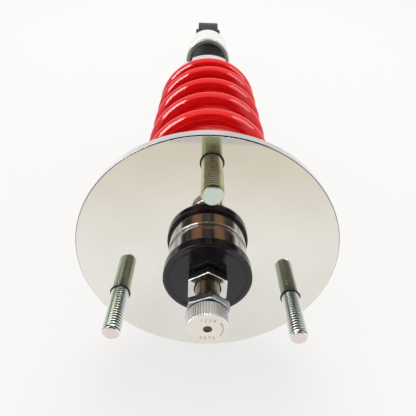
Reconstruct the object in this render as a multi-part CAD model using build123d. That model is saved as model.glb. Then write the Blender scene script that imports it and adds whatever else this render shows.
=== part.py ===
from build123d import *
import math
import os

# Coilover strut: a stud-plate top mount with a spherical bearing, a gas damper, a wound
# spring on a threaded perch, and a height-adjustable lower bracket with a bushed eye.
#
# All sizes are in millimetres.  The origin is the centre of the top plate's outer face,
# +Z runs up the strut's axis, and +Y points at one of the three mounting studs.

# ------------------------------------------------------------------ fits and clearances
RUNNING_FIT = 0.05          # radial play of a shaft that turns or slides in its bore
LOOSE_FIT = 0.30            # play between round faces that only pass each other
SEAT_GAP = 0.02             # radial play of a piece that is fixed in its seat
TILT_GAP = 0.70             # air left between the spring seat and the plate at full tilt

# ------------------------------------------------------------------ top plate and studs
PLATE_D = 140.0
PLATE_T = 6.0
PLATE_EDGE = 0.5
STUD_D = 10.0
STUD_PITCH_CIRCLE_D = 112.0
STUD_COUNT = 3
STUD_LENGTH = 29.7
STUD_TIP_CHAMFER = 1.0
STUD_HEAD_D = 14.0
STUD_HEAD_T = 2.5
STUD_COUNTERSINK = 0.8
STUD_KNURL = 0.4             # how far the pressed-in shank stands out beyond the thread
STUD_RELIEF = 0.4            # depth of the undercut between shank and thread

# ------------------------------------------------------------------ bearing and its housing
HOUSING_D = 42.0
HOUSING_NECK_D = 40.0
HOUSING_HEIGHT = 12.6
HOUSING_GROOVE = 2.2
HOUSING_EDGE = 0.8
HOUSING_LIP_D = 28.0
HOUSING_LAND = 0.5
CIRCLIP_T = 1.5
CIRCLIP_OPENING = 4.5
CIRCLIP_D = 45.0
CIRCLIP_GROOVE = 1.2
CAP_D = 45.0
CAP_T = 6.0
CAP_EDGE = 0.6
CAP_BORE_D = 18.4
RACE_D = 33.0
RACE_WIDTH = 13.0
BALL_D = 26.0
BALL_WIDTH = 17.0
BALL_CENTRE_Z = 3.0
TILT_LIMIT_DEG = 6.0

# ------------------------------------------------------------------ piston rod and its nuts
ROD_D = 18.0
ROD_THREAD_D = 12.0
ROD_BORE_D = 4.1
ROD_SPIGOT_D = 10.0
UPPER_SPACER_D = 14.0
LOWER_SPACER_D = 16.0
NUT_ACROSS_FLATS = 19.0
NUT_CHAMFER = 0.7
NUT_CLEAR = 1.6             # height of the nut's seat over the cap
TOP_NUT_T = 4.9
JAM_NUT_T = 4.0
JAM_NUT_TURN_DEG = 5.0      # from the top nut's corners to the jam nut's
THREAD_SHOWING = 12.1       # rod thread between the two nuts

# ------------------------------------------------------------------ damping adjuster
KNOB_D = 19.4
KNOB_HEIGHT = 8.1
KNOB_LIFT = 0.7
KNOB_CAP_T = 3.0
KNOB_TEETH = 48
KNOB_TOOTH = 0.45
KNOB_EDGE = 0.4
SPIGOT_LENGTH = 5.3
NEEDLE_D = 4.0
NEEDLE_SINK = 0.6
GRUB_SCREW_D = 3.0

# ------------------------------------------------------------------ spring and its upper seat
WIRE_D = 13.5
COIL_OD = 92.0
SPRING_LENGTH = 230.0
ACTIVE_QUARTERS = 21        # quarter turns at the full pitch
CLOSED_COIL_GAP = 0.7       # air between an end coil and the coil beside it
CLOSED_SHARES = (0.21, 0.24, 0.26, 0.29)
GRIND_SHARE = 0.125         # tip centre's height over its seat, as a share of the wire
SEAT_FLANGE_T = 3.4
SEAT_HUB_LENGTH = 8.0
SEAT_HUB_WALL = 3.0
SEAT_PILOT_T = 5.0
SEAT_PILOT_WALL = 5.0
BUMP_STOP_D = 38.0
BUMP_STOP_LENGTH = 42.0
BUMP_STOP_RINGS = 3
BUMP_STOP_WAIST = 4.0
BUMP_STOP_CREST = 0.4        # share of each ring's height at the full diameter
BUMP_CUP_T = 1.5

# ------------------------------------------------------------------ damper body
STROKE = 80.0
BUMP_AIR = 2.0              # left between the bump stop and the body at full stroke
TUBE_D = 46.0
TUBE_BORE_D = 36.0
TUBE_LENGTH = 290.0
TUBE_EDGE = 1.0
BODY_THREAD_PITCH = 2.0
BODY_THREAD_DEPTH = 1.08
BODY_THREAD_CREST = 0.25
BODY_PLAIN_LENGTH = 54.0    # upper end of the body, with no thread
SEAL_HEAD_LENGTH = 20.0
SEAL_D = 26.0
SEAL_T = 5.0
BASE_PLUG_T = 12.0
DROOP_GAP = 12.0
PISTON_T = 18.0
PISTON_PLAY = 0.3
BAND_T = 8.0
BAND_DEPTH = 1.5
SHIM_D = 28.0
SHIM_STACK_T = 1.2
PISTON_NUT_FLATS = 17.0
PISTON_NUT_T = 8.0
FLOATING_PISTON_T = 15.0
FLOATING_PISTON_DROP = 165.0

# ------------------------------------------------------------------ spring perch
PERCH_RIM_INSET = 6.0       # from the coils' outer side in to the perch's rim
PERCH_T = 17.0
PERCH_RING_STEP = 1.0       # from the perch's rim in to its lock ring's rim
PERCH_RING_T = 13.0
PERCH_PILOT_T = 9.0
PILOT_PLAY = 1.0            # radial play of a pilot inside the coils
SLIP_RING_T = 2.0
PERCH_EDGE = 1.0
SPANNER_SLOTS = 6
SPANNER_SLOT_W = 6.0
SPANNER_SLOT_DEPTH = 3.0
PERCH_SLOT_DEG = 60.0       # where the first slot of the perch and its ring stands

# ------------------------------------------------------------------ lower bracket and eye
BRACKET_D = 56.0
BRACKET_LENGTH = 57.0
BRACKET_EDGE = 1.2
BRACKET_RING_T = 8.0
BRACKET_RING_SLOTS = 6
BRACKET_SLOT_DEG = 75.0
BRACKET_SLOT_COVER = 1.6    # left over the bracket ring's slots
ENGAGEMENT = 26.0           # body thread held in the bracket
RAISE_TRAVEL = 20.0
RAISE_AIR = 1.0
EYE_CENTRE_DROP = 56.0      # from the bracket's lower face to the eye's axis
EYE_D = 54.0
EYE_WIDTH = 29.0
EYE_BORE_D = 40.0
EYE_NECK_TOP_D = 44.0
EYE_NECK_D = 27.0
EYE_FLANGE_T = 4.0
EYE_SPIGOT_D = 20.0
EYE_SPIGOT_LENGTH = 7.0
BUSH_SHELL_WALL = 1.5
BUSH_LENGTH = 36.0
BUSH_LIP_D = 36.0
EYE_SLEEVE_D = 18.0
EYE_SLEEVE_BORE_D = 12.1
EYE_SLEEVE_LENGTH = 37.0

# ------------------------------------------------------------------ places worked out from them
TILT = math.radians(TILT_LIMIT_DEG)
CAP_TOP_Z = HOUSING_HEIGHT + CAP_T
HOUSING_LOW_Z = -PLATE_T - CIRCLIP_T - HOUSING_LAND
RACE_LOW_Z = BALL_CENTRE_Z - RACE_WIDTH / 2
RACE_TOP_Z = BALL_CENTRE_Z + RACE_WIDTH / 2
BALL_LOW_Z = BALL_CENTRE_Z - BALL_WIDTH / 2
BALL_TOP_Z = BALL_CENTRE_Z + BALL_WIDTH / 2

TOP_NUT_LOW_Z = CAP_TOP_Z + NUT_CLEAR
TOP_NUT_TOP_Z = TOP_NUT_LOW_Z + TOP_NUT_T
JAM_NUT_LOW_Z = TOP_NUT_TOP_Z + THREAD_SHOWING
JAM_NUT_TOP_Z = JAM_NUT_LOW_Z + JAM_NUT_T
KNOB_LOW_Z = JAM_NUT_TOP_Z + KNOB_LIFT
KNOB_TOP_Z = KNOB_LOW_Z + KNOB_HEIGHT
KNOB_SOCKET_Z = KNOB_TOP_Z - KNOB_CAP_T

SEAT_REACH = COIL_OD / 2 * math.sin(TILT) + PLATE_T + BALL_CENTRE_Z + TILT_GAP
SEAT_TOP_Z = BALL_CENTRE_Z - SEAT_REACH / math.cos(TILT)
SPRING_TOP_Z = SEAT_TOP_Z - SEAT_FLANGE_T
SPRING_LOW_Z = SPRING_TOP_Z - SPRING_LENGTH
ROD_SHOULDER_Z = SEAT_TOP_Z - SEAT_HUB_LENGTH
COIL_R = (COIL_OD - WIRE_D) / 2
COIL_ID = COIL_OD - 2 * WIRE_D

BUMP_STOP_TOP_Z = ROD_SHOULDER_Z - BUMP_CUP_T
BUMP_STOP_LOW_Z = BUMP_STOP_TOP_Z - BUMP_STOP_LENGTH
TUBE_TOP_Z = BUMP_STOP_LOW_Z - BUMP_AIR - STROKE
TUBE_LOW_Z = TUBE_TOP_Z - TUBE_LENGTH
PISTON_TOP_Z = TUBE_TOP_Z - SEAL_HEAD_LENGTH - DROOP_GAP
PISTON_LOW_Z = PISTON_TOP_Z - PISTON_T
ROD_STEP_Z = PISTON_TOP_Z + SHIM_STACK_T
PISTON_NUT_TOP_Z = PISTON_LOW_Z - SHIM_STACK_T
PISTON_NUT_LOW_Z = PISTON_NUT_TOP_Z - PISTON_NUT_T
FLOATING_TOP_Z = PISTON_LOW_Z - FLOATING_PISTON_DROP + BAND_T
FLOATING_LOW_Z = FLOATING_TOP_Z - FLOATING_PISTON_T

PERCH_TOP_Z = SPRING_LOW_Z - SLIP_RING_T
PERCH_LOW_Z = PERCH_TOP_Z - PERCH_T
PERCH_RING_LOW_Z = PERCH_LOW_Z - PERCH_RING_T
PERCH_D = COIL_OD - 2 * PERCH_RIM_INSET
PERCH_RING_D = PERCH_D - 2 * PERCH_RING_STEP
PERCH_PILOT_D = COIL_ID - 2 * PILOT_PLAY

BRACKET_TOP_Z = TUBE_LOW_Z + ENGAGEMENT
BRACKET_LOW_Z = BRACKET_TOP_Z - BRACKET_LENGTH
BRACKET_BORE_Z = TUBE_LOW_Z - RAISE_TRAVEL - RAISE_AIR
BRACKET_RING_TOP_Z = BRACKET_TOP_Z + BRACKET_RING_T
EYE_Z = BRACKET_LOW_Z - EYE_CENTRE_DROP


# ------------------------------------------------------------------ shape helpers
def turned(*profile):
    """Solid of revolution about the strut's axis from corners given as (radius, height)."""
    outline = Polyline(*[(radius, 0, height) for radius, height in profile], close=True)
    return revolve(make_face(outline), Axis.Z)


def ring(outer_d, inner_d, low_z, top_z):
    """Plain ring or washer about the strut's axis."""
    outer, inner = outer_d / 2, inner_d / 2
    return turned((inner, low_z), (outer, low_z), (outer, top_z), (inner, top_z))


def edged_disc(outer_d, low_z, top_z, edge):
    """Disc with a chamfer on both rims."""
    r = outer_d / 2
    return turned((0, low_z), (r - edge, low_z), (r, low_z + edge),
                  (r, top_z - edge), (r - edge, top_z), (0, top_z))


def bar(outer_d, low_z, top_z):
    """Plain round bar about the strut's axis."""
    r = outer_d / 2
    return turned((0, low_z), (r, low_z), (r, top_z), (0, top_z))


def cross_bar(outer_d, length, z):
    """Round bar that lies along X, centred on the strut's axis."""
    return Pos(0, 0, z) * Rot(0, 90, 0) * Cylinder(outer_d / 2, length)


def cross_ring(outer_d, inner_d, length, z):
    """Round sleeve that lies along X, centred on the strut's axis."""
    return cross_bar(outer_d, length, z) - cross_bar(inner_d, length + 2, z)


def around(count, shape, start_deg=90.0):
    """Copies of a shape that lies at +Y, spaced evenly about the strut's axis."""
    return [Rot(0, 0, start_deg - 90.0 + 360.0 * i / count) * shape for i in range(count)]


def slotted(body, outer_d, low_z, top_z, count, first_deg):
    """Cuts C-spanner slots into a ring's rim, from below its lower face up to a height."""
    slot = Pos(0, outer_d / 2, (low_z - 1 + top_z) / 2) * Box(
        SPANNER_SLOT_W, 2 * SPANNER_SLOT_DEPTH, top_z - low_z + 1)
    for cutter in around(count, slot, first_deg):
        body -= cutter
    return body


def hex_nut(across_flats, bore_d, low_z, top_z, turn_deg=0.0):
    """Hexagon nut with chamfered corners, two of them on the Y axis before it is turned."""
    corner_d = across_flats / math.cos(math.pi / 6)
    blank = Pos(0, 0, low_z) * Rot(0, 0, 30 + turn_deg) * extrude(
        RegularPolygon(across_flats / 2, 6, major_radius=False), top_z - low_z)
    return (blank & edged_disc(corner_d, low_z, top_z, NUT_CHAMFER)) - bar(
        bore_d, low_z - 1, top_z + 1)


# ------------------------------------------------------------------ top mount
def top_plate():
    """Flat round plate with a centre bore for the housing and three stud holes."""
    plate = edged_disc(PLATE_D, -PLATE_T, 0, PLATE_EDGE)
    plate -= bar(HOUSING_NECK_D + 2 * SEAT_GAP, -PLATE_T - 1, 1)
    stud_r = STUD_D / 2 + SEAT_GAP
    shank_r = stud_r + STUD_KNURL
    head_r = STUD_HEAD_D / 2 + SEAT_GAP
    sink_r = stud_r + STUD_COUNTERSINK
    hole = turned((0, -PLATE_T - 1), (head_r, -PLATE_T - 1),
                  (head_r, -PLATE_T + STUD_HEAD_T), (shank_r, -PLATE_T + STUD_HEAD_T),
                  (shank_r, -STUD_COUNTERSINK), (sink_r, 0), (sink_r, 1), (0, 1))
    for cutter in around(STUD_COUNT, Pos(0, STUD_PITCH_CIRCLE_D / 2, 0) * hole):
        plate -= cutter
    return plate


def mount_studs():
    """Three studs pressed up through the plate, heads flush with its underside."""
    r, head_r = STUD_D / 2, STUD_HEAD_D / 2
    shank_r, relief_r = r + STUD_KNURL, r - STUD_RELIEF
    head_top = -PLATE_T + STUD_HEAD_T
    stud = turned((0, -PLATE_T), (head_r, -PLATE_T), (head_r, head_top),
                  (shank_r, head_top), (shank_r, -STUD_COUNTERSINK),
                  (relief_r, -STUD_COUNTERSINK), (relief_r, 0), (r, 0),
                  (r, STUD_LENGTH - STUD_TIP_CHAMFER),
                  (r - STUD_TIP_CHAMFER, STUD_LENGTH), (0, STUD_LENGTH))
    return Compound(around(STUD_COUNT, Pos(0, STUD_PITCH_CIRCLE_D / 2, 0) * stud))


def bearing_housing():
    """Cup that holds the bearing race, with a neck through the plate."""
    r, neck_r = HOUSING_D / 2, HOUSING_NECK_D / 2
    lip_r, race_r = HOUSING_LIP_D / 2, RACE_D / 2 + SEAT_GAP
    groove_r = neck_r - CIRCLIP_GROOVE
    return turned(
        (lip_r, HOUSING_LOW_Z), (neck_r, HOUSING_LOW_Z),
        (neck_r, HOUSING_LOW_Z + HOUSING_LAND), (groove_r, HOUSING_LOW_Z + HOUSING_LAND),
        (groove_r, -PLATE_T), (neck_r, -PLATE_T), (neck_r, HOUSING_GROOVE),
        (r - HOUSING_EDGE, HOUSING_GROOVE), (r, HOUSING_GROOVE + HOUSING_EDGE),
        (r, HOUSING_HEIGHT), (race_r, HOUSING_HEIGHT), (race_r, RACE_LOW_Z),
        (lip_r, RACE_LOW_Z))


def housing_circlip():
    """Snap ring under the plate, open at -Y, that keeps the housing in it."""
    clip = ring(CIRCLIP_D, HOUSING_NECK_D - 2 * CIRCLIP_GROOVE + 2 * SEAT_GAP,
                -PLATE_T - CIRCLIP_T, -PLATE_T)
    gap = Pos(0, -CIRCLIP_D / 2, -PLATE_T - CIRCLIP_T / 2) * Box(
        CIRCLIP_OPENING, HOUSING_NECK_D / 2, 2 * CIRCLIP_T)
    return clip - gap


def bearing_race():
    """Outer race, bored as a ball socket."""
    blank = ring(RACE_D, BALL_WIDTH, RACE_LOW_Z, RACE_TOP_Z)
    return blank - Pos(0, 0, BALL_CENTRE_Z) * Sphere(BALL_D / 2 + RUNNING_FIT)


def bearing_cap():
    """Lid of the housing; its spigot holds the race down and its bore clears the spacer."""
    r, bore_r = CAP_D / 2, CAP_BORE_D / 2
    spigot_r = RACE_D / 2 - SEAT_GAP
    under_r = BALL_D / 2 + LOOSE_FIT
    return turned(
        (bore_r, HOUSING_HEIGHT), (under_r, HOUSING_HEIGHT), (under_r, RACE_TOP_Z),
        (spigot_r, RACE_TOP_Z), (spigot_r, HOUSING_HEIGHT), (r, HOUSING_HEIGHT),
        (r, CAP_TOP_Z - CAP_EDGE), (r - CAP_EDGE, CAP_TOP_Z), (bore_r, CAP_TOP_Z))


# ------------------------------------------------------------------ rod and what it carries
def bearing_ball():
    """Truncated ball, bored for the rod."""
    ball = Pos(0, 0, BALL_CENTRE_Z) * Sphere(BALL_D / 2)
    return (ball & bar(BALL_D, BALL_LOW_Z, BALL_TOP_Z)) - bar(
        ROD_THREAD_D + 2 * SEAT_GAP, BALL_LOW_Z - 1, BALL_TOP_Z + 1)


def upper_spacer():
    """Sleeve between the ball and the top nut."""
    return ring(UPPER_SPACER_D, ROD_THREAD_D + 2 * SEAT_GAP, BALL_TOP_Z, TOP_NUT_LOW_Z)


def lower_spacer():
    """Sleeve between the spring seat and the ball."""
    return ring(LOWER_SPACER_D, ROD_THREAD_D + 2 * SEAT_GAP, SEAT_TOP_Z, BALL_LOW_Z)


def piston_rod():
    """Stepped hollow rod: plain spigot, upper thread, ground shaft, piston spigot."""
    bore_r = ROD_BORE_D / 2
    spigot_r, thread_r, rod_r = ROD_SPIGOT_D / 2, ROD_THREAD_D / 2, ROD_D / 2
    spigot_top = KNOB_LOW_Z + SPIGOT_LENGTH - LOOSE_FIT
    thread_top = KNOB_LOW_Z - LOOSE_FIT
    return turned(
        (bore_r, PISTON_NUT_LOW_Z), (thread_r, PISTON_NUT_LOW_Z), (thread_r, ROD_STEP_Z),
        (rod_r, ROD_STEP_Z), (rod_r, ROD_SHOULDER_Z), (thread_r, ROD_SHOULDER_Z),
        (thread_r, thread_top), (spigot_r, thread_top), (spigot_r, spigot_top),
        (bore_r, spigot_top))


def top_nut():
    """Nut that clamps the ball, the spacers and the spring seat to the rod."""
    return hex_nut(NUT_ACROSS_FLATS, ROD_THREAD_D + 2 * SEAT_GAP, TOP_NUT_LOW_Z, TOP_NUT_TOP_Z)


def jam_nut():
    """Thin nut under the knob."""
    return hex_nut(NUT_ACROSS_FLATS, ROD_THREAD_D + 2 * SEAT_GAP, JAM_NUT_LOW_Z, JAM_NUT_TOP_Z,
                   JAM_NUT_TURN_DEG)


def upper_spring_seat():
    """Flange over the spring with a pilot inside the coils and a hub on the rod."""
    bore_r = ROD_THREAD_D / 2 + SEAT_GAP
    hub_r = ROD_D / 2 + SEAT_HUB_WALL
    pilot_r = PERCH_PILOT_D / 2
    pilot_z = SPRING_TOP_Z - SEAT_PILOT_T
    return turned(
        (bore_r, ROD_SHOULDER_Z), (hub_r, ROD_SHOULDER_Z), (hub_r, SPRING_TOP_Z),
        (pilot_r - SEAT_PILOT_WALL, SPRING_TOP_Z), (pilot_r - SEAT_PILOT_WALL, pilot_z),
        (pilot_r, pilot_z), (pilot_r, SPRING_TOP_Z), (COIL_OD / 2, SPRING_TOP_Z),
        (COIL_OD / 2, SEAT_TOP_Z), (bore_r, SEAT_TOP_Z))


def bump_stop_cup():
    """Washer that backs the bump stop under the rod's shoulder hub."""
    return ring(BUMP_STOP_D, ROD_D + 2 * SEAT_GAP, BUMP_STOP_TOP_Z, ROD_SHOULDER_Z)


def bump_stop():
    """Foam bump stop with bulging rings."""
    r, bore_r = BUMP_STOP_D / 2, ROD_D / 2 + SEAT_GAP
    pitch = BUMP_STOP_LENGTH / BUMP_STOP_RINGS
    slope = pitch * (1 - BUMP_STOP_CREST) / 2
    outline = [(bore_r, BUMP_STOP_LOW_Z), (r - BUMP_STOP_WAIST, BUMP_STOP_LOW_Z)]
    for i in range(BUMP_STOP_RINGS):
        low = BUMP_STOP_LOW_Z + i * pitch
        outline += [(r, low + slope), (r, low + pitch - slope),
                    (r - BUMP_STOP_WAIST, low + pitch)]
    return turned(*outline, (bore_r, BUMP_STOP_TOP_Z))


def piston():
    """Piston with a band groove in its rim."""
    return turned(*banded_rim(PISTON_LOW_Z, PISTON_TOP_Z),
                  (ROD_THREAD_D / 2 + SEAT_GAP, PISTON_TOP_Z),
                  (ROD_THREAD_D / 2 + SEAT_GAP, PISTON_LOW_Z))


def banded_rim(low_z, top_z):
    """Corners of a rim in the body's bore, with a groove for a band at mid height."""
    r = TUBE_BORE_D / 2 - PISTON_PLAY
    middle = (low_z + top_z) / 2
    groove_r = r - BAND_DEPTH
    return [(r, low_z), (r, middle - BAND_T / 2), (groove_r, middle - BAND_T / 2),
            (groove_r, middle + BAND_T / 2), (r, middle + BAND_T / 2), (r, top_z)]


def rim_band(low_z, top_z):
    """Slide band in the groove of such a rim."""
    middle = (low_z + top_z) / 2
    inner_d = TUBE_BORE_D - 2 * (PISTON_PLAY + BAND_DEPTH)
    return ring(TUBE_BORE_D - 2 * RUNNING_FIT, inner_d, middle - BAND_T / 2, middle + BAND_T / 2)


def piston_band():
    """Slide band round the piston."""
    return rim_band(PISTON_LOW_Z, PISTON_TOP_Z)


def compression_shims():
    """Shim stack over the piston."""
    return ring(SHIM_D, ROD_THREAD_D + 2 * SEAT_GAP, PISTON_TOP_Z, ROD_STEP_Z)


def rebound_shims():
    """Shim stack under the piston."""
    return ring(SHIM_D, ROD_THREAD_D + 2 * SEAT_GAP, PISTON_NUT_TOP_Z, PISTON_LOW_Z)


def piston_nut():
    """Nut that holds the piston and its shims on the rod."""
    return hex_nut(PISTON_NUT_FLATS, ROD_THREAD_D + 2 * SEAT_GAP, PISTON_NUT_LOW_Z,
                   PISTON_NUT_TOP_Z)


# ------------------------------------------------------------------ damping adjuster
def adjuster_knob():
    """Straight-knurled knob on the rod's spigot, bored for the needle and a grub screw."""
    r = KNOB_D / 2
    rim = []
    for i in range(2 * KNOB_TEETH):
        angle = math.pi * i / KNOB_TEETH
        reach = r - KNOB_TOOTH * (i % 2)
        rim.append((reach * math.cos(angle), reach * math.sin(angle)))
    blank = Pos(0, 0, KNOB_LOW_Z) * extrude(make_face(Polyline(*rim, close=True)), KNOB_HEIGHT)
    knob = blank & edged_disc(KNOB_D, KNOB_LOW_Z, KNOB_TOP_Z, KNOB_EDGE)
    knob -= bar(ROD_SPIGOT_D + 2 * RUNNING_FIT, KNOB_LOW_Z - 1, KNOB_SOCKET_Z)
    knob -= bar(NEEDLE_D + 2 * SEAT_GAP, KNOB_SOCKET_Z - 1, KNOB_TOP_Z + 1)
    return knob - grub_bar(GRUB_SCREW_D + 2 * SEAT_GAP, KNOB_D)


def grub_bar(diameter, reach):
    """Radial bar from the spigot's bore out through the knob's back at -Y."""
    z = (KNOB_LOW_Z + KNOB_SOCKET_Z) / 2
    inner = ROD_SPIGOT_D / 2 + LOOSE_FIT
    return Pos(0, -(inner + reach) / 2, z) * Rot(90, 0, 0) * Cylinder(diameter / 2, reach - inner)


def knob_grub_screw():
    """Screw that fixes the knob, sunk below the knurl."""
    return grub_bar(GRUB_SCREW_D, KNOB_D / 2 - 2 * KNOB_TOOTH)


def adjuster_needle():
    """Needle that runs down the rod's bore to the piston and turns with the knob."""
    return bar(NEEDLE_D, PISTON_TOP_Z, KNOB_TOP_Z - NEEDLE_SINK)


# ------------------------------------------------------------------ spring
def coil_heights():
    """Heights of the wire's centre, quarter turn by quarter turn, from the lower tip up."""
    tip = GRIND_SHARE * WIRE_D
    closed_pitch = WIRE_D + CLOSED_COIL_GAP
    closed = [share * closed_pitch for share in CLOSED_SHARES]
    span = SPRING_LENGTH - 2 * tip
    active = (span - 2 * closed_pitch - closed[-1]) / (ACTIVE_QUARTERS + 1)
    entry = (closed[-1] + active) / 2
    rises = closed + [entry] + [active] * ACTIVE_QUARTERS + [entry] + closed[::-1]
    heights = [SPRING_LOW_Z + tip]
    for rise in rises:
        heights.append(heights[-1] + rise)
    return heights


def biarc(start, start_dir, end, end_dir):
    """Two arcs that leave start along start_dir and meet end along end_dir."""
    chord = end - start
    both = start_dir + end_dir
    bend = 2 * (1 - start_dir.dot(end_dir))
    along = chord.dot(both)
    reach = (math.sqrt(along * along + bend * chord.dot(chord)) - along) / bend
    first_corner = start + start_dir * reach
    second_corner = end - end_dir * reach
    joint = (first_corner + second_corner) * 0.5
    joint_dir = (second_corner - first_corner).normalized()
    return [TangentArc(start, joint, tangent=start_dir),
            TangentArc(joint, end, tangent=joint_dir)]


def coil_path():
    """Right-handed path of the wire's centre as quarter-turn biarcs; its top tip is at +Y."""
    heights = coil_heights()
    last = len(heights) - 1
    points, directions = [], []
    for i, height in enumerate(heights):
        angle = math.pi / 2 * (1 + i - last)
        rise = (heights[min(i + 1, last)] - heights[max(i - 1, 0)]) / (
            min(i + 1, last) - max(i - 1, 0))
        across = COIL_R * math.pi / 2
        points.append(Vector(COIL_R * math.cos(angle), COIL_R * math.sin(angle), height))
        directions.append(Vector(-math.sin(angle) * across, math.cos(angle) * across,
                                 rise).normalized())
    arcs = []
    for i in range(last):
        arcs += biarc(points[i], directions[i], points[i + 1], directions[i + 1])
    return arcs, points[0], directions[0]


def least_coil_gap(arcs, samples=12):
    """Least air between the wire and its own next turns, measured on points along it."""
    line = [arc.position_at(j / samples) for arc in arcs for j in range(samples)]
    half_turn = 4 * samples
    least = min((line[i] - line[j]).length
                for i in range(len(line)) for j in range(i + half_turn, len(line), 1)
                if abs(line[j].Z - line[i].Z) < 2 * WIRE_D)
    return least - WIRE_D


def main_spring():
    """Round wire wound to the path above, with both ends ground flat."""
    arcs, start, direction = coil_path()
    print("spring: least gap between coils %.2f mm" % least_coil_gap(arcs))
    section = Plane(origin=start, z_dir=direction) * Circle(WIRE_D / 2)
    wire = sweep(section, path=Wire(arcs))
    return wire & bar(2 * COIL_OD, SPRING_LOW_Z, SPRING_TOP_Z)


# ------------------------------------------------------------------ damper body
def damper_tube():
    """Body tube, with its thread cut as rings of the thread's pitch and depth."""
    r, bore_r = TUBE_D / 2, TUBE_BORE_D / 2
    root_r = r - BODY_THREAD_DEPTH
    groove = BODY_THREAD_PITCH - BODY_THREAD_CREST
    thread_z = TUBE_LOW_Z + TUBE_EDGE + BODY_THREAD_CREST
    turns = int((TUBE_LENGTH - BODY_PLAIN_LENGTH - TUBE_EDGE) / BODY_THREAD_PITCH)
    thread = []
    for i in range(turns):
        low_z = thread_z + i * BODY_THREAD_PITCH
        thread += [(r, low_z), (root_r, low_z + groove / 2), (r, low_z + groove)]
    return turned((bore_r, TUBE_LOW_Z), (r - TUBE_EDGE, TUBE_LOW_Z), (r, TUBE_LOW_Z + TUBE_EDGE),
                  *thread, (r, TUBE_TOP_Z - TUBE_EDGE), (r - TUBE_EDGE, TUBE_TOP_Z),
                  (bore_r, TUBE_TOP_Z))


def seal_head():
    """Rod guide in the top of the body, recessed above and below for its seals."""
    r, guide_r, seal_r = TUBE_BORE_D / 2 - SEAT_GAP, ROD_D / 2 + RUNNING_FIT, SEAL_D / 2
    low_z = TUBE_TOP_Z - SEAL_HEAD_LENGTH
    return turned((seal_r, low_z), (r, low_z), (r, TUBE_TOP_Z), (seal_r, TUBE_TOP_Z),
                  (seal_r, TUBE_TOP_Z - SEAL_T), (guide_r, TUBE_TOP_Z - SEAL_T),
                  (guide_r, low_z + SEAL_T), (seal_r, low_z + SEAL_T))


def wiper_seal():
    """Wiper in the seal head's upper recess."""
    return ring(SEAL_D - 2 * SEAT_GAP, ROD_D + 2 * RUNNING_FIT, TUBE_TOP_Z - SEAL_T, TUBE_TOP_Z)


def rod_seal():
    """Pressure seal in the seal head's lower recess."""
    low_z = TUBE_TOP_Z - SEAL_HEAD_LENGTH
    return ring(SEAL_D - 2 * SEAT_GAP, ROD_D + 2 * RUNNING_FIT, low_z, low_z + SEAL_T)


def base_plug():
    """Plug that closes the lower end of the body, with a gas-charging hole."""
    plug = bar(TUBE_BORE_D - 2 * SEAT_GAP, TUBE_LOW_Z, TUBE_LOW_Z + BASE_PLUG_T)
    return plug - bar(GRUB_SCREW_D * 2, TUBE_LOW_Z - 1, TUBE_LOW_Z + BASE_PLUG_T + 1)


def gas_screw():
    """Screw that seals the gas-charging hole."""
    return bar(GRUB_SCREW_D * 2 - 2 * SEAT_GAP, TUBE_LOW_Z, TUBE_LOW_Z + BASE_PLUG_T)


def floating_piston():
    """Piston between the oil and the gas."""
    return turned((0, FLOATING_LOW_Z), *banded_rim(FLOATING_LOW_Z, FLOATING_TOP_Z),
                  (0, FLOATING_TOP_Z))


def floating_piston_band():
    """Band round the floating piston."""
    return rim_band(FLOATING_LOW_Z, FLOATING_TOP_Z)


# ------------------------------------------------------------------ spring perch
def perch_slip_ring():
    """Washer that lets the perch turn under the spring."""
    return ring(PERCH_D, PERCH_PILOT_D + 2 * LOOSE_FIT, PERCH_TOP_Z, SPRING_LOW_Z)


def spring_perch():
    """Threaded collar with a pilot inside the spring and spanner slots in its rim."""
    bore_r, r, pilot_r = TUBE_D / 2 + RUNNING_FIT, PERCH_D / 2, PERCH_PILOT_D / 2
    pilot_z = PERCH_TOP_Z + PERCH_PILOT_T
    collar = turned(
        (bore_r, PERCH_LOW_Z), (r - PERCH_EDGE, PERCH_LOW_Z), (r, PERCH_LOW_Z + PERCH_EDGE),
        (r, PERCH_TOP_Z - PERCH_EDGE), (r - PERCH_EDGE, PERCH_TOP_Z), (pilot_r, PERCH_TOP_Z),
        (pilot_r, pilot_z), (bore_r, pilot_z))
    slot_top = PERCH_TOP_Z - 2 * PERCH_EDGE
    return slotted(collar, PERCH_D, PERCH_LOW_Z, slot_top, SPANNER_SLOTS, PERCH_SLOT_DEG)


def threaded_ring(outer_d, low_z, top_z):
    """Lock ring on the body's thread."""
    r, bore_r = outer_d / 2, TUBE_D / 2 + RUNNING_FIT
    return turned((bore_r, low_z), (r - PERCH_EDGE, low_z), (r, low_z + PERCH_EDGE),
                  (r, top_z - PERCH_EDGE), (r - PERCH_EDGE, top_z), (bore_r, top_z))


def perch_lock_ring():
    """Ring that locks the perch, slotted right through."""
    blank = threaded_ring(PERCH_RING_D, PERCH_RING_LOW_Z, PERCH_LOW_Z)
    return slotted(blank, PERCH_RING_D, PERCH_RING_LOW_Z, PERCH_LOW_Z + 1, SPANNER_SLOTS,
                   PERCH_SLOT_DEG)


# ------------------------------------------------------------------ lower bracket and eye
def bracket_lock_ring():
    """Ring that locks the lower bracket, with its slots covered above."""
    blank = threaded_ring(BRACKET_D, BRACKET_TOP_Z, BRACKET_RING_TOP_Z)
    return slotted(blank, BRACKET_D, BRACKET_TOP_Z, BRACKET_RING_TOP_Z - BRACKET_SLOT_COVER,
                   BRACKET_RING_SLOTS, BRACKET_SLOT_DEG)


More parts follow.
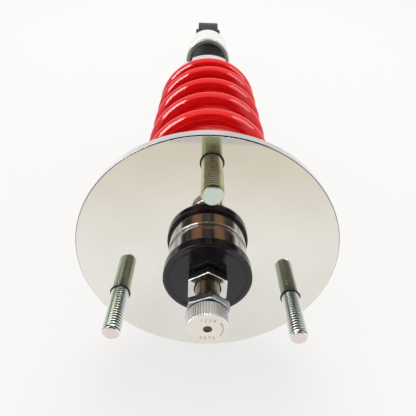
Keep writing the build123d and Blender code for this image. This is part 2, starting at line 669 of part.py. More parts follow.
def lower_bracket():
    """Socket that the body screws into, closed by a floor with the eye's hole."""
    r, bore_r = BRACKET_D / 2, TUBE_D / 2 + RUNNING_FIT
    hole_r = EYE_SPIGOT_D / 2 + SEAT_GAP
    return turned(
        (hole_r, BRACKET_LOW_Z), (r - BRACKET_EDGE, BRACKET_LOW_Z),
        (r, BRACKET_LOW_Z + BRACKET_EDGE), (r, BRACKET_TOP_Z - BRACKET_EDGE),
        (r - BRACKET_EDGE, BRACKET_TOP_Z), (bore_r, BRACKET_TOP_Z), (bore_r, BRACKET_BORE_Z),
        (hole_r, BRACKET_BORE_Z))


def lower_eye():
    """Eye with a tapered neck and a spigot in the bracket's floor."""
    flange_z = BRACKET_LOW_Z - EYE_FLANGE_T
    top_r, neck_r, spigot_r = EYE_NECK_TOP_D / 2, EYE_NECK_D / 2, EYE_SPIGOT_D / 2
    neck = turned((0, EYE_Z), (neck_r, EYE_Z), (neck_r, EYE_Z + EYE_D / 2),
                  (top_r, flange_z), (top_r, BRACKET_LOW_Z), (spigot_r, BRACKET_LOW_Z),
                  (spigot_r, BRACKET_LOW_Z + EYE_SPIGOT_LENGTH),
                  (0, BRACKET_LOW_Z + EYE_SPIGOT_LENGTH))
    return (neck + cross_bar(EYE_D, EYE_WIDTH, EYE_Z)) - cross_bar(EYE_BORE_D, EYE_D, EYE_Z)


def bush_shell():
    """Steel shell of the bush, pressed into the eye."""
    outer_d = EYE_BORE_D - 2 * SEAT_GAP
    return cross_ring(outer_d, outer_d - 2 * BUSH_SHELL_WALL, EYE_WIDTH, EYE_Z)


def eye_bush():
    """Rubber of the bush, with a lip that stands out at each side of the eye."""
    core_d = EYE_BORE_D - 4 * SEAT_GAP - 2 * BUSH_SHELL_WALL
    rubber = cross_bar(core_d, EYE_WIDTH, EYE_Z) + cross_bar(BUSH_LIP_D, BUSH_LENGTH, EYE_Z)
    return rubber - cross_bar(EYE_SLEEVE_D + 2 * RUNNING_FIT, BUSH_LENGTH + 2, EYE_Z)


def eye_sleeve():
    """Inner sleeve that the lower bolt passes through."""
    return cross_ring(EYE_SLEEVE_D, EYE_SLEEVE_BORE_D, EYE_SLEEVE_LENGTH, EYE_Z)


# ------------------------------------------------------------------ all pieces
PIECES = (
    top_plate, mount_studs, bearing_housing, housing_circlip, bearing_race, bearing_cap,
    bearing_ball, upper_spacer, lower_spacer, piston_rod, top_nut, jam_nut,
    upper_spring_seat, bump_stop_cup, bump_stop, piston, piston_band, compression_shims,
    rebound_shims, piston_nut, adjuster_knob, knob_grub_screw, adjuster_needle, main_spring,
    damper_tube, seal_head, wiper_seal, rod_seal, base_plug, gas_screw, floating_piston,
    floating_piston_band, perch_slip_ring, spring_perch, perch_lock_ring,
    bracket_lock_ring, lower_bracket, lower_eye, bush_shell, eye_bush, eye_sleeve,
)

os.makedirs("parts", exist_ok=True)
for piece in PIECES:
    export_step(piece(), "parts/" + piece.__name__ + ".step")
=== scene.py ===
"""Looks of a coilover strut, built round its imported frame.

The frame stands upright: its origin is the centre of the top plate's outer face, +Z runs up the
strut to the adjuster knob, and +Y points at one of the three studs.  Lengths are in metres; the
sizes in the classes are in millimetres and MM turns them into metres.
"""

import json
import logging
import math
from dataclasses import dataclass, field
from enum import Enum
from typing import Any, Callable, Optional, Sequence

import bmesh
import bpy
import numpy as np
from mathutils import Matrix, Vector


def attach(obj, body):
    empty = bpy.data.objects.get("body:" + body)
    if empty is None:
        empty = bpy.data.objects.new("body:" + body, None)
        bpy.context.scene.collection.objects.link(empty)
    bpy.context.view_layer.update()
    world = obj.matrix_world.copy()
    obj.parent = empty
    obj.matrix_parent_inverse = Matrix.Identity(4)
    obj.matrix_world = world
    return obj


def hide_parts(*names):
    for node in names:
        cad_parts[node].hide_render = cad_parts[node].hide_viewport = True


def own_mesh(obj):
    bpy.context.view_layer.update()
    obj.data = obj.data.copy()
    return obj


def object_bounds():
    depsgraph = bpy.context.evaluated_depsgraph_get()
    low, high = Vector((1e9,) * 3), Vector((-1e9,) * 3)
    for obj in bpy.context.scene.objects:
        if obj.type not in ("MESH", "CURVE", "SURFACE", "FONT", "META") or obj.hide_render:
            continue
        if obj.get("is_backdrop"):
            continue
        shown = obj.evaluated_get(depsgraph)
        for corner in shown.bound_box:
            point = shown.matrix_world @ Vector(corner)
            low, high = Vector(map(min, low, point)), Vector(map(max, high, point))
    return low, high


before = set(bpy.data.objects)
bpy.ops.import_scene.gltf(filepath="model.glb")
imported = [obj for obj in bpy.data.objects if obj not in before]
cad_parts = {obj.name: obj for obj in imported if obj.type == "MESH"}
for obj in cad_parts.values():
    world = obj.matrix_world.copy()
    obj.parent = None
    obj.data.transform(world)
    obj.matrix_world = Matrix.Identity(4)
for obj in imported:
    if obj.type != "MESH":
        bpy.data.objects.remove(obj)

MM = 0.001
TURN = 2.0 * math.pi
CAD_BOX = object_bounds()
LOG = logging.getLogger("coilover")

Array = np.ndarray
Corner = tuple[float, float]
Object = bpy.types.Object
Socket = bpy.types.NodeSocket
Tree = bpy.types.NodeTree


# ---------------------------------------------------------------------------- colour and nodes
def linear(code: str) -> tuple[float, float, float, float]:
    """Turns an sRGB hex colour, "#RRGGBB", into linear red, green, blue and an alpha of one."""
    srgb = np.array([int(code[i:i + 2], 16) for i in (1, 3, 5)]) / 255.0
    low, high = srgb / 12.92, ((srgb + 0.055) / 1.055) ** 2.4
    return (*np.where(srgb <= 0.04045, low, high).tolist(), 1.0)


def empty_tree(owner: bpy.types.ID) -> Tree:
    """Gives a material or a world an empty node tree, and returns it."""
    owner.use_nodes = True
    owner.node_tree.nodes.clear()
    return owner.node_tree


def add_node(tree: Tree, kind: str, values: Optional[dict[Any, Any]] = None) -> bpy.types.Node:
    """Adds one node with its settings and its incoming links.

    Args:
        tree: The node tree that takes it.
        kind: The node's type name after "ShaderNode".
        values: Node attributes, or else input sockets, by name or number, each with its value
            or with the output that feeds it.

    Returns:
        The new node.
    """
    node = tree.nodes.new("ShaderNode" + kind)
    for key, value in (values or {}).items():
        if isinstance(value, Socket):
            tree.links.new(value, node.inputs[key])
        elif isinstance(key, str) and hasattr(node, key):
            setattr(node, key, value)
        else:
            node.inputs[key].default_value = value
    return node


def number_step(tree: Tree, operation: str, *values: Any) -> Socket:
    """One step of arithmetic on numbers or their sockets."""
    node = add_node(tree, "Math", {"operation": operation, **dict(enumerate(values))})
    return node.outputs["Value"]


def vector_step(tree: Tree, operation: str, *values: Any) -> Socket:
    """One step of arithmetic on vectors or their sockets."""
    node = add_node(tree, "VectorMath", {"operation": operation, **dict(enumerate(values))})
    return node.outputs["Value" if operation in ("LENGTH", "DOT_PRODUCT") else "Vector"]


def one_axis(tree: Tree, vector: Socket, axis: int) -> Socket:
    """One coordinate of a vector: 0, 1 or 2 for X, Y or Z."""
    return add_node(tree, "SeparateXYZ", {0: vector}).outputs[axis]


def reach(tree: Tree, place: Socket) -> Socket:
    """Distance of a place from the Z axis."""
    return vector_step(tree, "LENGTH", vector_step(tree, "MULTIPLY", place, (1, 1, 0)))


def map_range(tree: Tree, value: Socket, start: float, end: float, low: float = 0.0,
              high: float = 1.0, smooth: bool = False) -> Socket:
    """Maps a value from start…end to low…high, evenly or smoothly, and holds it outside them."""
    return add_node(tree, "MapRange", {
        "interpolation_type": "SMOOTHSTEP" if smooth else "LINEAR", "From Min": start,
        "From Max": end, "To Min": low, "To Max": high, "Value": value}).outputs["Result"]


def mix(tree: Tree, share: Socket, *colours: Any) -> Socket:
    """Mixes two colours, each a hex code or a socket, by the second one's share."""
    first, second = (linear(c) if isinstance(c, str) else c for c in colours)
    node = add_node(tree, "Mix", {"data_type": "RGBA", 0: share, 6: first, 7: second})
    return node.outputs[2]


def noise(tree: Tree, place: Socket, size: float, detail: float,
          distortion: float = 0.0) -> Socket:
    """Noise whose largest lumps are about a size across, in metres."""
    return add_node(tree, "TexNoise", {
        "Scale": 1.0 / size, "Detail": detail, "Distortion": distortion,
        "Vector": place}).outputs["Fac"]


# ---------------------------------------------------------------------------- finishes
COAT_ROUGHNESS = 0.09    # of every clear top layer


class Grain(Enum):
    """How a surface was worked, which sets the direction of its fine marks."""

    EVEN = "even"
    TURNED_Z = "turned about the strut's axis"


@dataclass(frozen=True)
class Roots:
    """A thread's roots and its flanks that face down, darkened: soil and a thicker film in the
    roots, and painted shade there and on those flanks.

    Attributes:
        x: Distance of the thread's axis from the strut's axis along X, either way.
        y: The same along Y.
        crest: Radius where the soil starts.
        floor: Radius where it is full.
        top: Height over which there is none.
        soil_and_shade: Colour of the roots: soil, and painted shade.
        under: Colour of the flanks that face down: painted shade.
    """

    x: float
    y: float
    crest: float
    floor: float
    top: float
    soil_and_shade: str
    under: str

    def darken(self, tree: Tree, place: Socket, colour: Socket) -> Socket:
        """Paints shade on a thread's lower flanks, and darkens its roots by their distance from its
        axis with soil and painted shade.

        Args:
            tree: The material's node tree.
            place: Object coordinates.
            colour: The colour on the crests.

        Returns:
            The colour socket.
        """
        facing = add_node(tree, "TexCoord").outputs["Normal"]
        # Painted shade: flanks that face down take the under colour.
        down = map_range(tree, one_axis(tree, facing, 2), -0.2, -0.4)
        colour = mix(tree, down, colour, self.under)
        # Soil and painted shade in the roots, darker towards the thread's axis.
        off = vector_step(tree, "SUBTRACT", vector_step(tree, "ABSOLUTE", place),
                          (self.x * MM, self.y * MM, 0.0))
        deep = map_range(tree, reach(tree, off), self.crest * MM, self.floor * MM)
        below = number_step(tree, "LESS_THAN", one_axis(tree, place, 2), self.top * MM)
        return mix(tree, number_step(tree, "MULTIPLY", deep, below), colour, self.soil_and_shade)


@dataclass(frozen=True)
class Finish:
    """A real surface: its colours, its gloss and the scale of its marks.

    Attributes:
        name: What the surface is called in a workshop.
        slot: The record's material slot; not used.
        colour: Its main colour.
        stain: The colour it drifts to in patches or marks.
        metallic: One for bare metal.
        roughness: Mean roughness.
        spread: How far the roughness wanders each way.
        mark_mm: Width of its marks.
        depth_mm: Height of its marks.
        patch_mm: Size of its colour patches.
        patch_share: How much of the stain shows.
        grain: How its marks run.
        coat: Weight of a clear top layer.
        specular: Specular level of a surface that isn't metal.
        roots: The roots of a thread that has this finish.
    """

    name: str
    slot: str
    colour: str
    stain: str
    metallic: float = 1.0
    roughness: float = 0.2
    spread: float = 0.05
    mark_mm: float = 0.4
    depth_mm: float = 0.002
    patch_mm: float = 12.0
    patch_share: float = 0.5
    grain: Grain = Grain.EVEN
    coat: float = 0.0
    specular: float = 0.5
    roots: Optional[Roots] = None

    def material(self) -> bpy.types.Material:
        """Returns the material of this finish, made once."""
        return bpy.data.materials.get(self.name) or self._make()

    def _make(self) -> bpy.types.Material:
        """Builds the node tree and returns the material."""
        material = bpy.data.materials.new(self.name)
        tree = empty_tree(material)
        place = add_node(tree, "TexCoord").outputs["Object"]
        colour = self.tint(tree, place)
        if self.roots:
            colour = self.roots.darken(tree, place, colour)
        marks = self.marks(tree, place)
        gloss = map_range(tree, marks, 0.0, 1.0, self.roughness - self.spread,
                          self.roughness + self.spread)
        bump = add_node(tree, "Bump", {
            "Strength": 1.0, "Distance": self.depth_mm * MM, "Height": marks})
        shader = add_node(tree, "BsdfPrincipled", {
            "Metallic": self.metallic, "Coat Weight": self.coat,
            "Coat Roughness": COAT_ROUGHNESS,
            "Specular IOR Level": self.specular, "Base Color": colour, "Roughness": gloss,
            "Normal": bump.outputs["Normal"]})
        add_node(tree, "OutputMaterial", {"Surface": shader.outputs["BSDF"]})
        return material

    def marks(self, tree: Tree, place: Socket) -> Socket:
        """Noise as wide as the marks, from zero to one.

        Turned marks are noise of the distance from the strut's axis and the place along it, so
        they close into rings.
        """
        if self.grain is Grain.TURNED_Z:
            place = add_node(tree, "CombineXYZ", {
                "X": reach(tree, place), "Y": one_axis(tree, place, 2)}).outputs["Vector"]
        return noise(tree, place, self.mark_mm * MM, 3.0)

    def tint(self, tree: Tree, place: Socket) -> Socket:
        """Main colour with soft patches of the stain."""
        share = map_range(tree, noise(tree, place, self.patch_mm * MM, 4.0), 0.35, 0.75,
                          high=self.patch_share)
        return mix(tree, share, self.colour, self.stain)


@dataclass(frozen=True)
class Passivated(Finish):
    """Zinc plate with a chromate film, whose thickness wanders through its colours."""

    film: tuple[str, ...] = ()
    band_mm: float = 9.0

    def tint(self, tree: Tree, place: Socket) -> Socket:
        """Runs a stretched noise through the film's colours and returns the colour socket."""
        bands = vector_step(tree, "MULTIPLY", place, (1.0, 1.0, 0.35))
        wander = map_range(tree, noise(tree, bands, self.band_mm * MM, 2.0, 0.6), 0.25, 0.75)
        ramp = add_node(tree, "ValToRGB", {0: wander})
        stops = ramp.color_ramp.elements
        while len(stops) < len(self.film):
            stops.new(0.5)
        for i, code in enumerate(self.film):
            stops[i].position = i / (len(self.film) - 1)
            stops[i].color = linear(code)
        return ramp.outputs["Color"]


# Turned and buffed aluminium: a mirror with faint smears.
MIRROR_PLATE = Finish("buffed_aluminium", "mirror_aluminium", "#eeece5", "#dcdad1",
                      roughness=0.05, spread=0.02, mark_mm=30.0, depth_mm=0.004, patch_mm=45.0)
# Milled edge of the plate, left as cut: a little duller than its face.
PLATE_EDGE = Finish("cut_aluminium_edge", "mirror_aluminium", "#f2f1ee", "#c9c6cc",
                    roughness=0.3, spread=0.06, mark_mm=0.5, grain=Grain.TURNED_Z)
# Broken corners of the plate, darker than its face: a painted dark reflection along the chamfers.
DARK_CHAMFER = Finish("painted_dark_chamfer", "mirror_aluminium", "#8d898c", "#6e6b6d",
                    roughness=0.15, mark_mm=0.5)
# Dark ring round each stud, finished as sealant: painted shade in the gap between stud and hole.
GAP_SHADE = Finish("painted_gap_shade", "mirror_aluminium", "#22251e", "#2d3027", metallic=0.0,
                 roughness=0.4, spread=0.08, mark_mm=0.5)
# Zinc plated steel under a chromate film: satin with rainbow bands; soil and painted shade in the
# thread's roots, painted shade on its lower flanks.
STUD_ZINC = Passivated("passivated_zinc", "zinc_stud", "#c8cfa6", "#d9bda4", roughness=0.22,
                       mark_mm=0.6, film=("#e4f6de", "#f4faf4", "#eef0f2", "#eef8fc", "#e0f4e0"),
                       roots=Roots(48.497, 28.0, 4.7, 4.45, 28.5, "#6f766b", "#c8ceb8"))
# The same plating with a thicker film, which turns it olive; soil and painted shade in the roots,
# painted shade on the lower flanks.
STUD_OLIVE = Passivated("olive_passivated_zinc", "zinc_stud", "#a9a878", "#8f7a63",
                        roughness=0.3, mark_mm=0.6,
                        film=("#c6dca6", "#dee4b6", "#cabfa4", "#e2e8be", "#ccdcb6"),
                        roots=Roots(0.0, 56.0, 4.8, 4.4, 28.5, "#57533d", "#bfc89c"))
# Sheared tips of the studs, where the film lies thin and pale.
OLIVE_TIP = Finish("bare_zinc_tip", "zinc_stud", "#d2e0dd", "#c8d0d6", roughness=0.3,
                   spread=0.06, mark_mm=0.6, depth_mm=0.004, patch_mm=7.0)
ZINC_TIP = Finish("thin_passivated_zinc", "zinc_stud", "#ead9d8", "#dcd6dc", roughness=0.3,
                  spread=0.06, mark_mm=0.6, depth_mm=0.004, patch_mm=7.0)
# Hard chrome over turned steel: a hard mirror.
HOUSING_CHROME = Finish("chrome_plate", "housing_chrome", "#d6d5d2", "#c4c2bd", roughness=0.05,
                        spread=0.015, mark_mm=0.5, depth_mm=0.0004, grain=Grain.TURNED_Z)
# Black anodised aluminium, dyed and sealed: dark with a sharp weak reflection.
CAP_BLACK = Finish("black_anodised", "cap_black", "#110e13", "#1a161c", metallic=0.0,
                   roughness=0.13, spread=0.03, mark_mm=0.35, depth_mm=0.0006,
                   grain=Grain.TURNED_Z)
# Nickel plated steel: bright, with the marks of its machining.
NUT_STEEL = Finish("nickel_plated_steel", "nut_steel", "#dcdcd8", "#bfc1bf", roughness=0.13,
                   mark_mm=0.8, depth_mm=0.0015, patch_mm=6.0)
# Blue passivated zinc: cooler and duller than the nickel.
BLUE_ZINC = Finish("blue_passivated_zinc", "nut_steel", "#a4abb2", "#80878d", roughness=0.16,
                   mark_mm=0.8, patch_mm=5.0)
# Oiled machined steel of the rod's thread: warmer and duller than the nuts; soil and painted shade
# in its roots, painted shade on its lower flanks.
THREAD_STEEL = Finish("oiled_steel_thread", "rod_chrome", "#b3ab99", "#6f675a", spread=0.06,
                      mark_mm=0.5, patch_mm=4.0,
                      roots=Roots(0.0, 0.0, 5.9, 5.4, 60.0, "#4a4335", "#5a5244"))
# Ground hard chrome of the damper rod.
ROD_CHROME = Finish("ground_chrome", "rod_chrome", "#cfd0d2", "#b9babc", roughness=0.07,
                    spread=0.02, mark_mm=0.3, depth_mm=0.0004, grain=Grain.TURNED_Z)
# Turned aluminium with a pale, slightly yellow bloom.
KNOB_FACE = Finish("turned_aluminium_face", "knob_aluminium", "#ebe7dd", "#d9d4c7",
                   roughness=0.34, spread=0.06, mark_mm=0.25, patch_mm=5.0,
                   grain=Grain.TURNED_Z)
KNOB_RIM = Finish("knurled_aluminium", "knob_aluminium", "#eeeeea", "#d8d8d2",
                  roughness=0.3, spread=0.06, patch_mm=5.0)
# Engraving filled with grey paint.
ENGRAVING = Finish("grey_engraving", "knob_aluminium", "#bcb6a7", "#aaa394", metallic=0.3,
                   roughness=0.5, spread=0.1, mark_mm=0.3)
# Gloss powder coat: a clear skin with faint orange peel over a solid red.
SPRING_RED = Finish("red_powder_coat", "spring_red", "#ee0c11", "#e00a0f", metallic=0.0,
                    roughness=0.5, spread=0.04, mark_mm=2.2, depth_mm=0.0012,
                    patch_mm=20.0, patch_share=0.35, coat=0.85, specular=0.0)
# Black zinc-nickel on a rolled thread.
BODY_BLACK = Finish("black_zinc_nickel", "body_black", "#2b2a2a", "#1d1c1c", metallic=0.55,
                    roughness=0.3, spread=0.07, mark_mm=0.8)
PERCH_SILVER = Finish("clear_anodised", "perch_silver", "#ecebe7", "#d8d7d2", metallic=0.7,
                      roughness=0.34, mark_mm=0.45, depth_mm=0.0012, grain=Grain.TURNED_Z)
BRACKET_SILVER = Finish("bright_anodised", "bracket_silver", "#f6f5f1", "#e4e2dc", metallic=0.5,
                        roughness=0.42, spread=0.06, mark_mm=0.5, depth_mm=0.0012,
                        grain=Grain.TURNED_Z)
RING_GREY = Finish("grey_anodised", "ring_grey", "#a8a89f", "#94948b", metallic=0.4,
                   roughness=0.45, spread=0.06, depth_mm=0.0012, grain=Grain.TURNED_Z)
# Stoved black paint on a forging: soft gloss over a faintly uneven skin.
EYE_BLACK = Finish("stoved_black_paint", "eye_black", "#29282b", "#343336", metallic=0.0,
                   roughness=0.33, spread=0.06, mark_mm=1.6, depth_mm=0.02)
RUBBER = Finish("moulded_rubber", "rubber_black", "#141414", "#1f1e1e", metallic=0.0,
                roughness=0.6, spread=0.1, mark_mm=0.9, depth_mm=0.01)
FOAM = Finish("microcellular_foam", "foam_black", "#1a1a19", "#262524", metallic=0.0,
              roughness=0.8, spread=0.08, mark_mm=0.5, depth_mm=0.03)
SEAL = Finish("nitrile_seal", "seal_rubber", "#121212", "#1b1b1b", metallic=0.0,
              roughness=0.5, spread=0.08, mark_mm=0.7, depth_mm=0.004)
CLIP_STEEL = Finish("phosphated_spring_steel", "spring_steel_clip", "#57575a", "#3d3d40",
                    roughness=0.4, spread=0.08, mark_mm=0.5)
BEARING_STEEL = Finish("ground_bearing_steel", "bearing_steel", "#c9c9cb", "#b3b3b6",
                       roughness=0.12, spread=0.03, mark_mm=0.3, depth_mm=0.0005,
                       grain=Grain.TURNED_Z)
PISTON_METAL = Finish("hard_anodised", "piston_aluminium", "#8d8776", "#766f5f",
                      roughness=0.35, spread=0.06, grain=Grain.TURNED_Z)
BAND = Finish("filled_fluoropolymer", "band_ptfe", "#37332d", "#2a2723", metallic=0.0,
              roughness=0.5, mark_mm=0.5)
WASHER = Finish("acetal", "washer_plastic", "#e6e3da", "#dad6cb", metallic=0.0,
                roughness=0.35, mark_mm=0.6)


# ---------------------------------------------------------------------------- surfaces
STEPS = 5            # pieces of arc in each rounded corner
ARC_SHARE = 0.45     # an arc takes up no more than this share of the shorter side
STRAIGHT = 0.02      # corners that turn by less than this, in radians, stay as they are
HOLD_MM = 0.04       # a point this far beyond each arc keeps the flats' shading flat
HOLD_SHARE = 0.1     # and it lies no further on than this share of the shorter side
WELD_MM = 0.002      # points closer than this are one point
HAIR_MM = 0.02       # air between faces that slide on each other
TINY = 1e-6          # lengths below this count as none
SHARP = 32.0         # edges that turn by more than this, in degrees, stay sharp


def polar(r: Any, t: Any, z: Any) -> Array:
    """Points at radius r, angle t and height z, as (r cos t, r sin t, z)."""
    return np.stack(np.broadcast_arrays(r * np.cos(t), r * np.sin(t), z), -1)


def outline(*corners: Sequence[float], fillet: float = 0.2, closed: bool = True) -> Array:
    """Rounds the corners of an outline.

    At a corner with unit directions a and b to its neighbours and angle t between them, the arc
    of radius f starts f / tan(t / 2) along each side.  Its points are the spherical mix of the
    two radii from the arc's centre.

    Args:
        corners: Corners as (radius, height) or (radius, height, own fillet).
        fillet: Radius of the corners that name none; corners on the axis stay sharp.
        closed: Whether the last corner joins the first.

    Returns:
        Points × 2, in millimetres; a closed outline ends on its first point.
    """
    points = np.array([corner[:2] for corner in corners], float)
    radii = [corner[2] if len(corner) > 2 else fillet for corner in corners]
    rows: list[Array] = []
    for i, point in enumerate(points):
        end = not closed and i in (0, len(points) - 1)
        sides = points[i - 1] - point, points[(i + 1) % len(points)] - point
        lengths = [np.linalg.norm(side) for side in sides]
        a, b = (side / max(length, TINY) for side, length in zip(sides, lengths))
        angle = math.acos(float(np.clip(a @ b, -1.0, 1.0)))
        if end or radii[i] <= 0.0 or point[0] < TINY or angle > math.pi - STRAIGHT:
            rows.append(point[None])
            continue
        start = min(radii[i] / math.tan(angle / 2.0), ARC_SHARE * min(lengths))
        centre = point + (a + b) / np.linalg.norm(a + b) * start / math.cos(angle / 2.0)
        first, last = point + a * start - centre, point + b * start - centre
        sweep = math.pi - angle
        share = np.linspace(0.0, 1.0, STEPS + 1)[:, None]
        arc = centre + (np.sin((1.0 - share) * sweep) * first
                        + np.sin(share * sweep) * last) / math.sin(sweep)
        hold = start + min(HOLD_MM, HOLD_SHARE * min(lengths))
        rows += [(point + a * hold)[None], arc, (point + b * hold)[None]]
    return np.concatenate(rows + [rows[0][:1]] if closed else rows)


def lathe(profile: Any, segments: int = 128, angles: Optional[Array] = None,
          warp: Optional[Callable[[Array, Array, Array], Array]] = None) -> Array:
    """Turns an outline about the strut's axis.

    Args:
        profile: Points × 2 of (radius, height).
        segments: Columns of the turn.
        angles: The columns' own angles, which replace evenly spaced ones.
        warp: Gives the new radius from angle, radius and height, which cuts slots and knurls.

    Returns:
        Rows × columns × 3.
    """
    profile = np.asarray(profile, float)
    turn = np.linspace(0.0, TURN, segments + 1) if angles is None else angles
    t, r = np.meshgrid(turn, profile[:, 0])
    z = np.broadcast_to(profile[:, 1:], t.shape)
    if warp is not None:
        r = np.where(r > TINY, warp(t, r, z), r)
    return polar(r, t, z)


@dataclass(frozen=True)
class Thread:
    """An outside thread with 60 degree flanks.

    Its crest is an eighth of the pitch wide, its root a quarter, and its flanks are straight.

    Attributes:
        radius: Crest radius.
        pitch: Rise of one turn.
        low: Where it starts.
        high: Where it ends.
        chamfer: Drop of the radius at each end, at 45 degrees.
        segments: Columns of one turn.
        breaks: Shares of the pitch where crest, flank, root and flank start.
        depth: Depth of the root, as a share of the pitch.
    """

    radius: float
    pitch: float
    low: float
    high: float
    chamfer: tuple[float, float]
    segments: int = 48
    breaks: tuple[float, ...] = (0.0, 0.125, 0.4375, 0.6875)
    depth: float = 0.5413

    def grid(self) -> Array:
        """Rows that follow the helix, so that crests and roots stay sharp.

        Row k stands at z = low + pitch (k' + t / turn), with k' its share of the pitch; it is
        clipped to the thread's ends, and its radius comes from the clipped height.  The last
        column of a row is the first column of the row one pitch up, so the turn closes.
        """
        t = np.linspace(0.0, TURN, self.segments + 1)[None, :]
        turns = math.ceil((self.high - self.low) / self.pitch)
        share = np.add.outer(np.arange(-1, turns + 1), self.breaks).reshape(-1, 1)
        z = np.clip(self.low + self.pitch * (share + t / TURN), self.low, self.high)
        depth = self.depth * self.pitch
        r = self.radius - np.interp(((z - self.low) / self.pitch - t / TURN) % 1.0,
                                    [*self.breaks, 1.0], [0.0, 0.0, depth, depth, 0.0])
        r = np.minimum(r, self.radius - self.chamfer[0] + z - self.low)
        r = np.minimum(r, self.radius - self.chamfer[1] + self.high - z)
        return polar(r, t, z)


def tube(path: Array, radius: float, around: int) -> Array:
    """Sweeps a circle along a path that winds about the strut's axis, with flat ends.

    The circle's first axis points away from the strut's axis; its second is the path's direction
    crossed with it.

    Args:
        path: Points × 3.
        radius: The wire's radius.
        around: Columns round the wire.

    Returns:
        Rows × columns × 3.
    """
    along = np.gradient(path, axis=0)
    along /= np.linalg.norm(along, axis=1, keepdims=True)
    away = path * (1.0, 1.0, 0.0)
    away /= np.linalg.norm(away, axis=1, keepdims=True)
    side = np.cross(along, away)
    t = np.linspace(0.0, TURN, around + 1)[None, :, None]
    skin = path[:, None] + radius * (np.cos(t) * away[:, None] + np.sin(t) * side[:, None])
    caps = [np.broadcast_to(path[end], (1, around + 1, 3)) for end in (0, -1)]
    return np.concatenate([caps[0], skin, caps[1]])


@dataclass(frozen=True)
class Slots:
    """Radial slots in a ring's rim, as a warp of its radius.

    Attributes:
        radius: The rim's radius.
        first: Where the first slot stands, in degrees.
        top: The slots end below this height.
        count: How many slots.
        width: Width of one.
        depth: Depth of one.
        wall: Half the angle that a slot's wall takes up, in radians.
        clear: Even columns closer to a wall than this, in radians, give way.
    """

    radius: float
    first: float
    top: float = math.inf
    count: int = 6
    width: float = 6.0
    depth: float = 3.0
    wall: float = 0.0006
    clear: float = 0.02

    def half(self) -> float:
        """Half the angle of one slot."""
        return math.asin(self.width / 2.0 / self.radius)

    def angles(self) -> Array:
        """Columns of the turn, with a pair beside each wall of each slot."""
        both = np.array([-1.0, 1.0])
        middle = math.radians(self.first) + TURN * np.arange(self.count) / self.count
        walls = np.add.outer(np.add.outer(middle, self.half() * both), self.wall * both).ravel()
        even = np.linspace(0.0, TURN, 97)[:-1]
        off = np.abs((even[:, None] - walls + math.pi) % TURN - math.pi).min(1)
        turn = np.sort(np.concatenate([even[off > self.clear], walls % TURN]))
        return np.append(turn, turn[0] + TURN)

    def __call__(self, t: Array, r: Array, z: Array) -> Array:
        """Pulls the rim in to the slots' floor between their walls."""
        step = TURN / self.count
        off = np.abs((t - math.radians(self.first) + step / 2.0) % step - step / 2.0)
        inside = (off < self.half()) & (z < self.top)
        return np.where(inside, np.minimum(r, self.radius - self.depth), r)


# ---------------------------------------------------------------------------- objects
def place_new(name: str, data: bpy.types.ID) -> Object:
    """Puts a new object of some data into the scene."""
    new = bpy.data.objects.new(name, data)
    bpy.context.scene.collection.objects.link(new)
    return new


@dataclass
class Skin:
    """One surface of a piece and how it is finished."""

    grid: Array
    finish: Finish


def weld(name: str, skins: Sequence[Skin]) -> bpy.types.Mesh:
    """Joins surfaces into one mesh; points that meet are welded, which closes seams."""
    finishes = list(dict.fromkeys(skin.finish for skin in skins))
    points, quads, slots, count = [], [], [], 0
    for skin in skins:
        rows, columns = skin.grid.shape[:2]
        index = count + np.arange(rows * columns).reshape(rows, columns)
        quads.append(np.stack([index[:-1, :-1], index[:-1, 1:],
                               index[1:, 1:], index[1:, :-1]], -1).reshape(-1, 4))
        slots.append(np.full(len(quads[-1]), finishes.index(skin.finish)))
        points.append(skin.grid.reshape(-1, 3) * MM)
        count += rows * columns
    mesh = bpy.data.meshes.new(name)
    mesh.from_pydata(np.concatenate(points), [], np.concatenate(quads).tolist())
    mesh.polygons.foreach_set("material_index", np.concatenate(slots))
    for finish in finishes:
        mesh.materials.append(finish.material())
    work = bmesh.new()
    work.from_mesh(mesh)
    bmesh.ops.remove_doubles(work, verts=work.verts, dist=WELD_MM * MM)
    bmesh.ops.dissolve_degenerate(work, dist=WELD_MM * MM / 4.0, edges=work.edges)
    bmesh.ops.recalc_face_normals(work, faces=work.faces)
    work.to_mesh(mesh)
    work.free()
    mesh.polygons.foreach_set("use_smooth", np.ones(len(mesh.polygons), bool))
    mesh.update()
    return mesh


@dataclass
class Piece:
    """A piece of the strut: its surfaces, the body it rides and the node it stands for.

    Attributes:
        name: The object's name.
        body: The CAD body that it rides.
        skins: Its surfaces.
        stands_for: CAD nodes that it replaces.
        sharp: Edges that turn by more than this many degrees stay sharp.
        bevel_mm: Width of a bevel on its sharp edges, if any.
    """

    name: str
    body: str
    skins: Sequence[Skin]
    stands_for: Sequence[str]
    sharp: float = SHARP
    bevel_mm: float = 0.0

    def build(self) -> Object:
        """Makes the object, welded, facing outwards and riding its body."""
        piece = place_new(self.name, weld(self.name, self.skins))
        if self.bevel_mm:
            bevel = piece.modifiers.new("edges", "BEVEL")
            bevel.width, bevel.segments = self.bevel_mm * MM, 3
            bevel.angle_limit = math.radians(self.sharp - 2.0)
            apply_modifiers(piece)
        piece.data.set_sharp_from_angle(angle=math.radians(self.sharp))
        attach(piece, self.body)
        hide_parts(*self.stands_for)
        LOG.info("%s: %d faces on %s", self.name, len(piece.data.polygons), self.body)
        return piece


def plain_piece(name: str, body: str, node: str, grid: Array, finish: Finish,
                bevel_mm: float = 0.0) -> Object:
    """Builds a piece of one surface that stands for one node."""
    return Piece(name, body, [Skin(grid, finish)], [node], bevel_mm=bevel_mm).build()


def split(grid: Array, rows: Sequence[int], finishes: Sequence[Finish]) -> list[Skin]:
    """Cuts a grid at some rows, which both sides keep, into one skin for each finish."""
    ends = (0, *rows, len(grid) - 1)
    return [Skin(grid[a:b + 1], finish) for a, b, finish in zip(ends, ends[1:], finishes)]


